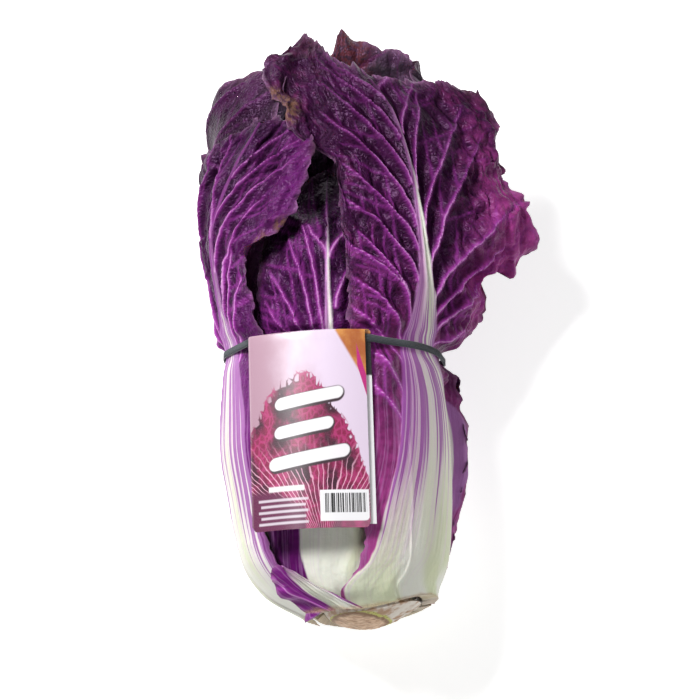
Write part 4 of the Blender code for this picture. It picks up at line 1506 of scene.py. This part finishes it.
class LeafShader(Shader):
    """A leaf's material, with the patterns that its parts share."""

    def __init__(self, name):
        super().__init__(name)
        self.place = self.node("UVMap", settings={"uv_map": "leaf_map"})
        rib_map = self.node("UVMap", settings={"uv_map": "rib_map"})
        self.fibres = self.clouds(self.scaled(self.place, (60, 1.4, 1)), 1.0, 4.0)
        self.stripes = self.clouds(self.scaled(rib_map, (28, 0.30, 1)), 1.0, 2.5)
        self.tinge = self.clouds(self.scaled(rib_map, (4, 0.5, 1)), 1.0, 2.0)
        self.blotch = self.clouds(self.place, 6.0, 6.0)
        self.grain = self.clouds(self.place, 120.0, 4.0)
        self.mottle = self.clouds(self.place, 22.0, 5.0)
        self.fine_cells = self.cracks(self.place, 45.0)
        self.wing, self.rib, self.vein = self.shade("wing"), self.shade("rib"), self.shade("vein")
        self.stalk = self.minus(1.0, self.wing)


def blade_colour(s, dark, bright):
    """The blade: mottled, with painted shade in its hollows and folds and a painted highlight on its puffs,
    with fine lines and violet veins that crest pale.
    """
    uneven = s.plus(s.linear(s.blotch, 0.7, -0.35), s.linear(s.mottle, 0.9, -0.45))
    vivid = s.math("ADD", s.shade("vivid"), uneven, clamp=True)
    # Painted shade: the blade is painted darker in the folds between its veins and in the hollows between its
    # puffs.
    vivid = s.times(vivid, s.linear(s.shade("deep"), -0.95, 1.0))
    vivid = s.times(vivid, s.linear(s.shade("hollow"), -0.90, 1.0))
    blade = s.mix(vivid, dark, bright)
    # Painted highlight: lighter violet on the crests of the puffs.
    blade = s.mix(s.times(s.shade("swell"), 0.10), blade, CREST_HIGHLIGHT_VIOLET)
    vein_colour = s.mix(s.shade("lively"), VEIN_DARK, VEIN_VIOLET)
    pale_crest = s.times(s.ramp(s.vein, 0.70, 1.0), s.linear(s.shade("lively"), 0.60, 0.05))
    vein_colour = s.mix(pale_crest, vein_colour, VEIN_PALE)
    blade = s.mix(s.times(s.times(s.shade("web"), s.wing), 0.10), blade, vein_colour)
    lines = s.ramp(s.fine_cells, 0.0, 0.09, 1.0, 0.0)
    blade = s.mix(s.times(s.times(lines, s.wing), 0.06), blade, vein_colour)
    blade = s.mix(s.times(s.vein, 0.92), blade, vein_colour)
    combed = s.times(s.stalk, s.ramp(s.fibres, 0.45, 0.65))
    blade = s.mix(s.times(combed, 0.35), blade, COMBED_LILAC)
    return s.mix(s.times(s.shade("edge"), 0.45), blade, EDGE_MAUVE)


def petiole_colour(s):
    """The petiole: white, green in places, with violet running up it in streaks, thickest at its edges."""
    bare = s.linear(s.shade("run"), -0.26, 0.18)
    bare = s.plus(bare, s.times(s.shade("core"), 0.13))
    bare = s.plus(bare, s.linear(s.tinge, 0.5, -0.25))
    spared = s.plus(s.stripes, bare)
    white = s.mix(s.times(s.shade("green"), 0.75), PETIOLE_WHITE, PETIOLE_GREEN)
    white = s.mix(s.times(s.shade("flush"), 0.85), white, FLUSH_VIOLET)
    white = s.mix(s.ramp(spared, 0.72, 0.52, 0.0, 0.35), white, STREAK_LILAC)
    return s.mix(s.times(s.ramp(spared, 0.55, 0.47), 0.85), white, STREAK_VIOLET)


def blemished(s, colour, scorch):
    """Scorched patches, worn margins and the bruised cut end, laid over a leaf's colour."""
    crumbs = s.clouds(s.place, 34.0, 5.0)
    scorched = s.times(s.ramp(s.shade("patch"), 0.15, 0.85), s.ramp(crumbs, 0.40, 0.56, 0.15, 1.0))
    colour = s.mix(s.times(scorched, 0.85), colour, scorch)
    worn = s.times(s.shade("worn"), s.ramp(s.blotch, 0.42, 0.60))
    colour = s.mix(s.times(worn, 0.70), colour, WORN_BROWN)
    bruise = s.mix(s.ramp(s.grain, 0.35, 0.65), BRUISE_TAN, BRUISE_BROWN)
    return s.mix(s.times(s.shade("cut"), 0.60), colour, bruise)


def leaf_material(name, dark, bright, shine=0.37, scorch=SCORCH_BROWN):
    """White ribbed petiole with violet streaks, crinkled purple blade with violet veins, and blemishes."""
    s = LeafShader(name)
    colour = s.mix(s.shade("cream"), blade_colour(s, dark, bright), petiole_colour(s))
    colour = blemished(s, colour, scorch)

    roughness = s.linear(s.grain, 0.16, shine - 0.06)
    roughness = s.linear(s.shade("hollow"), 0.30, roughness)
    roughness = s.plus(roughness, s.times(s.rib, 0.08))
    fibre_height = s.times(s.math("MAXIMUM", s.rib, s.stalk), s.fibres)
    cell_height = s.times(s.minus(1.0, s.rib), s.ramp(s.fine_cells, 0.0, 0.35))
    height = s.times(s.times(cell_height, s.wing), 0.55)
    height = s.linear(s.mottle, 0.9, height)
    height = s.plus(height, s.times(fibre_height, 0.7))
    height = s.plus(height, s.times(s.grain, 0.15))
    return s.finish(
        colour, roughness, height, depth=0.0008, strength=0.55,
        Subsurface_Weight=0.04, Subsurface_Scale=0.002, Specular_IOR_Level=0.17,
        Specular_Tint=(0.82, 0.46, 0.86, 1.0),
    )


def cut_material():
    """Tan, fibrous cut stem with a darker ring, a dotted yellow-green rim and brown scuffs."""
    s = Shader("cut_stem")
    place = s.node("TexCoord", output="Object")
    ring = s.shade("ring")
    fibres = s.clouds(s.scaled(place, (260, 90, 700)), 1.0, 5.0)
    mottle = s.clouds(place, 180.0, 5.0)
    dots = s.node("TexVoronoi", output="Distance", Vector=place, Scale=900.0)
    tan = s.mix(s.ramp(fibres, 0.35, 0.65), (0.40, 0.23, 0.13), (0.66, 0.46, 0.30))
    tan = s.mix(s.ramp(mottle, 0.52, 0.70, 0.0, 0.6), tan, (0.22, 0.11, 0.06))
    wobble = s.linear(mottle, 0.22, s.plus(ring, -0.11))
    colour = s.mix(s.ramp(wobble, 0.72, 0.86), tan, (0.20, 0.10, 0.04))
    green = s.mix(s.ramp(dots, 0.25, 0.45), (0.16, 0.13, 0.03), (0.44, 0.43, 0.10))
    colour = s.mix(s.ramp(wobble, 0.90, 0.95), colour, green)
    scuffed = s.mix(s.ramp(mottle, 0.42, 0.62), (0.60, 0.55, 0.48), (0.36, 0.22, 0.13))
    colour = s.mix(s.ramp(wobble, 0.99, 1.04), colour, scuffed)
    height = s.plus(fibres, s.times(mottle, 0.6))
    return s.finish(colour, s.linear(mottle, 0.2, 0.55), height, depth=0.0008, strength=0.8)


def heart_material():
    s = Shader("pale_heart")
    place = s.node("TexCoord", output="Object")
    soft = s.clouds(s.scaled(place, (160, 30, 160)), 1.0, 4.0)
    colour = s.mix(s.ramp(soft, 0.4, 0.65), (0.72, 0.66, 0.50), (0.55, 0.30, 0.50))
    return s.finish(colour, s.linear(soft, 0.2, 0.35), soft, depth=0.0006, Subsurface_Weight=0.05)


def band_material(name, colour):
    """Charcoal covered elastic, slightly fuzzy."""
    s = Shader(name)
    place = s.node("TexCoord", output="Object")
    fuzz = s.clouds(place, 2600.0, 3.0)
    cloud = s.clouds(place, 60.0, 3.0)
    lighter = tuple(2.2 * part for part in colour)
    worn = s.mix(s.times(s.ramp(fuzz, 0.35, 0.75), 0.6), colour, lighter)
    worn = s.mix(s.ramp(cloud, 0.4, 0.7, 0.0, 0.3), worn, lighter)
    return s.finish(worn, s.linear(fuzz, 0.25, 0.50), fuzz, depth=0.0002, Sheen_Weight=0.25)


def water_material():
    s = Shader("water")
    ripple = s.clouds(s.node("TexCoord", output="Object"), 900.0, 2.0)
    colour = s.mix(ripple, (0.92, 0.94, 0.97), (0.98, 0.98, 1.0))
    return s.finish(
        colour, s.linear(ripple, 0.02, 0.02), ripple, depth=0.00003,
        Transmission_Weight=1.0, IOR=1.33,
    )


CARD_WHITE = (0.72, 0.71, 0.73)
BAR_WHITE = (0.70, 0.68, 0.70)


class Print(Shader):
    """A material whose shapes are placed on the card, from 0 to 1 across it and up it."""

    def __init__(self, name):
        super().__init__(name)
        self.card = self.node("UVMap", settings={"uv_map": "card_map"})
        parts = self.tree.nodes.new("ShaderNodeSeparateXYZ")
        self.put(parts.inputs[0], self.card)
        self.x, self.y = parts.outputs[0], parts.outputs[1]

    def off(self, cx, cy, tilt):
        """How far right and up of a place, along a line that tilts up to the right."""
        dx, dy = self.minus(self.x, cx), self.minus(self.y, cy)
        return dx, self.minus(dy, self.times(dx, tilt)) if tilt else dy

    def box(self, cx, cy, half_x, half_y, soft=0.006, tilt=0.0):
        """1 inside an upright or tilted box, 0 outside."""
        dx, dy = self.off(cx, cy, tilt)
        in_x = self.ramp(self.math("ABSOLUTE", dx), half_x - soft, half_x + soft, 1.0, 0.0)
        in_y = self.ramp(self.math("ABSOLUTE", dy), half_y - soft, half_y + soft, 1.0, 0.0)
        return self.times(in_x, in_y)

    def pill(self, cx, cy, half_x, half_y, tilt=0.10):
        """1 inside a bar with round ends that leans up to the right, 0 outside."""
        dx, dy = self.off(cx, cy, tilt)
        past = self.math("MAXIMUM", self.minus(self.math("ABSOLUTE", dx), half_x - half_y), 0.0)
        past = self.times(past, TAG_WIDTH / TAG_LENGTH)
        away = self.math("SQRT", self.plus(self.times(past, past), self.times(dy, dy)))
        return self.ramp(away, half_y - 0.004, half_y + 0.004, 1.0, 0.0)


def leaf_picture(s, cloud):
    """A soft picture of a cut leaf head before a pale sky; its ribs fan out from low on the card."""
    dx, dy = s.minus(s.x, 0.62), s.plus(s.y, 0.12)
    fan = s.math("DIVIDE", dx, s.math("MAXIMUM", dy, 0.05))
    ribs = s.math("ABSOLUTE", s.math("SINE", s.times(s.linear(cloud, 0.30, fan), 26.0)))
    wrinkle = s.cracks(s.card, 22.0)
    leafy = s.mix(s.ramp(wrinkle, 0.0, 0.20), (0.34, 0.020, 0.12), (0.20, 0.003, 0.05))
    leafy = s.mix(s.ramp(cloud, 0.42, 0.60), leafy, (0.035, 0.002, 0.015))
    low_ribs = s.times(s.ramp(ribs, 0.42, 0.12), s.ramp(s.y, 0.50, 0.20))
    leafy = s.mix(low_ribs, leafy, (0.66, 0.34, 0.46))
    sky = s.mix(s.ramp(s.linear(cloud, 0.5, s.x), 0.35, 1.0), (0.34, 0.20, 0.26), (0.60, 0.50, 0.62))
    sunk = s.times(s.math("POWER", s.minus(s.x, 0.42), 2.0), 1.7)
    dome = s.linear(wrinkle, 0.16, s.plus(sunk, s.y))
    return s.mix(s.ramp(s.linear(cloud, 0.20, dome), 0.93, 0.90), sky, leafy)


def plain_bars(s, colour):
    """Three leaning pale bars with dark edges, in the place of a name."""
    bars = ((0.51, 0.68, 0.27, 0.032), (0.46, 0.525, 0.23, 0.032), (0.50, 0.37, 0.32, 0.034))
    for cx, cy, half_x, half_y in bars:
        colour = s.mix(s.pill(cx + 0.006, cy - 0.006, half_x, half_y + 0.010), colour, (0.03, 0.012, 0.02))
        colour = s.mix(s.pill(cx, cy, half_x, half_y), colour, BAR_WHITE)
    return colour


def small_print(s, colour):
    """Plain lines on a dark patch low on the card, and a white panel with plain stripes."""
    dark = s.ramp(s.linear(s.x, 0.35, s.y), 0.30, 0.24)
    colour = s.mix(s.times(dark, s.box(0.22, 0.09, 0.24, 0.11, 0.02)), colour, (0.10, 0.008, 0.05))
    colour = s.mix(s.box(0.30, 0.212, 0.15, 0.013), colour, BAR_WHITE)
    for row in range(5):
        line = s.box(0.27, 0.155 - 0.030 * row, 0.21 - 0.02 * (row % 2), 0.0065, 0.004)
        colour = s.mix(s.times(line, 0.8), colour, (0.60, 0.54, 0.60))
    panel = s.box(0.785, 0.115, 0.205, 0.080, 0.003)
    stripe = s.clouds(s.scaled(s.card, (95, 0.0, 1)), 1.0, 1.0)
    printed = s.times(s.ramp(stripe, 0.485, 0.50), s.box(0.79, 0.128, 0.18, 0.050, 0.002))
    return s.mix(panel, colour, s.mix(printed, CARD_WHITE, (0.015, 0.015, 0.015)))


def tag_material():
    """Glossy printed card: a lilac picture, an amber corner, a red strip, bars, lines and a plain back."""
    s = Print("printed_card")
    cloud = s.clouds(s.card, 5.0, 4.0)
    paper = s.clouds(s.card, 220.0, 2.0)
    colour = leaf_picture(s, cloud)
    wood = s.mix(s.ramp(cloud, 0.4, 0.6), (0.34, 0.09, 0.02), (0.52, 0.22, 0.05))
    colour = s.mix(s.ramp(s.linear(s.y, 0.9, s.x), 1.66, 1.69), colour, wood)
    colour = s.mix(s.box(0.985, 0.77, 0.060, 0.055, tilt=-2.2), colour, (0.42, 0.01, 0.16))
    colour = small_print(s, plain_bars(s, colour))
    back = s.mix(s.ramp(s.y, 0.80, 0.79), (0.010, 0.009, 0.011), CARD_WHITE)
    colour = s.mix(s.ramp(s.shade("panel"), 0.4, 0.9), back, colour)
    colour = s.mix(s.ramp(paper, 0.4, 0.7, 0.0, 0.05), colour, (0.9, 0.9, 0.9))
    return s.finish(
        colour, s.linear(paper, 0.10, 0.28), paper, depth=0.00006, strength=0.3,
        Coat_Weight=0.25, Coat_Roughness=0.15,
    )


# --- building ---------------------------------------------------------------------------------------------

leaves = (*inner_leaves(), *OUTER_LEAVES)
laid, reached = lay_leaves(leaves)
covered = cover_over(leaves, laid)

purple = leaf_material("purple_leaf", (0.006, 0.0010, 0.007), (0.14, 0.010, 0.15))
redder = leaf_material("red_purple_leaf", (0.006, 0.0008, 0.005), (0.31, 0.040, 0.20), shine=0.35)
olive = leaf_material("olive_purple_leaf", (0.020, 0.017, 0.022), (0.05, 0.012, 0.04), scorch=SCORCH_RED)
pale = leaf_material("pale_inner_leaf", (0.16, 0.03, 0.16), (0.60, 0.32, 0.56))
for leaf in leaves:
    piece = leaf_piece(leaf, laid, covered)
    outer_leaf = leaf in OUTER_LEAVES
    material = purple if outer_leaf else pale
    if leaf.name in ("leaf_right_outer", "leaf_back_left"):
        material = redder
    if leaf.name == "leaf_under_middle":
        material = olive
    piece.data.materials.append(material)
    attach(piece, "root")
    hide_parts(leaf.name)

stem = stem_piece(spread(head_outline(), 2, average=True))
stem.data.materials.append(cut_material())
heart = heart_piece()
heart.data.materials.append(heart_material())
band = band_piece()
charcoal = band_material("charcoal_elastic", (0.028, 0.034, 0.040))
band.data.materials.append(charcoal)
threads = band_ribs(charcoal)
tag = tag_piece()
tag.data.materials.append(tag_material())
drops = water_drops(bpy.data.objects["leaf_back_left_detail"].data, water_material())
for piece, node, slot in (
    (stem, "stem_butt", "stem_cut"),
    (heart, "heart_bud", "leaf_inner"),
    (band, "elastic_band", "elastic"),
    (threads, None, "elastic"),
    (tag, "hang_tag", "tag_card"),
    (drops, None, "leaf_outer"),
):
    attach(piece, "root")
    if node:
        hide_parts(node)

# Lights, floor and camera.
floor_mesh = bpy.data.meshes.new("pale_floor")
floor_mesh.from_pydata([(-3, -3, 0), (3, -3, 0), (3, 3, 0), (-3, 3, 0)], [], [(0, 1, 2, 3)])
floor_piece = new_piece("pale_floor", floor_mesh)
floor_look = Shader("pale_floor")
floor_piece.data.materials.append(
    floor_look.finish((0.93, 0.93, 0.93), 0.9, Emission_Color=(1, 1, 1, 1), Emission_Strength=0.56)
)


def area_light(name, place, target, size, power):
    light = bpy.data.lights.new(name, "AREA")
    light.shape = "SQUARE"
    light.size = size
    light.energy = power
    lamp = new_piece(name, light)
    lamp.location = place
    lamp.rotation_mode = "QUATERNION"
    lamp.rotation_quaternion = (Vector(target) - Vector(place)).to_track_quat("-Z", "Y")


area_light("key_light", (-0.70, 0.55, 1.05), (0, 0, 0.04), 0.40, 29)
area_light("fill_light", (0.8, -0.6, 1.2), (0, 0, 0.04), 0.9, 8)
world = bpy.data.worlds.new("studio")
world.use_nodes = True
world.node_tree.nodes["Background"].inputs[0].default_value = (1, 1, 1, 1)
world.node_tree.nodes["Background"].inputs[1].default_value = 0.12
bpy.context.scene.world = world
bpy.context.scene.view_settings.view_transform = "Standard"

CAMERA_RISE = math.radians(78)
CAMERA_DISTANCE = 1.2
aim = Vector((-0.012 + SHIFT[0], -0.0145, 0.055))
camera_data = bpy.data.cameras.new("camera")
camera_data.lens = 110
camera_data.sensor_width = 36
camera = new_piece("camera", camera_data)
back = Vector((0, -math.cos(CAMERA_RISE), math.sin(CAMERA_RISE)))
camera.location = aim + back * CAMERA_DISTANCE
camera.rotation_mode = "QUATERNION"
camera.rotation_quaternion = (-back).to_track_quat("-Z", "Y")
bpy.context.scene.camera = camera
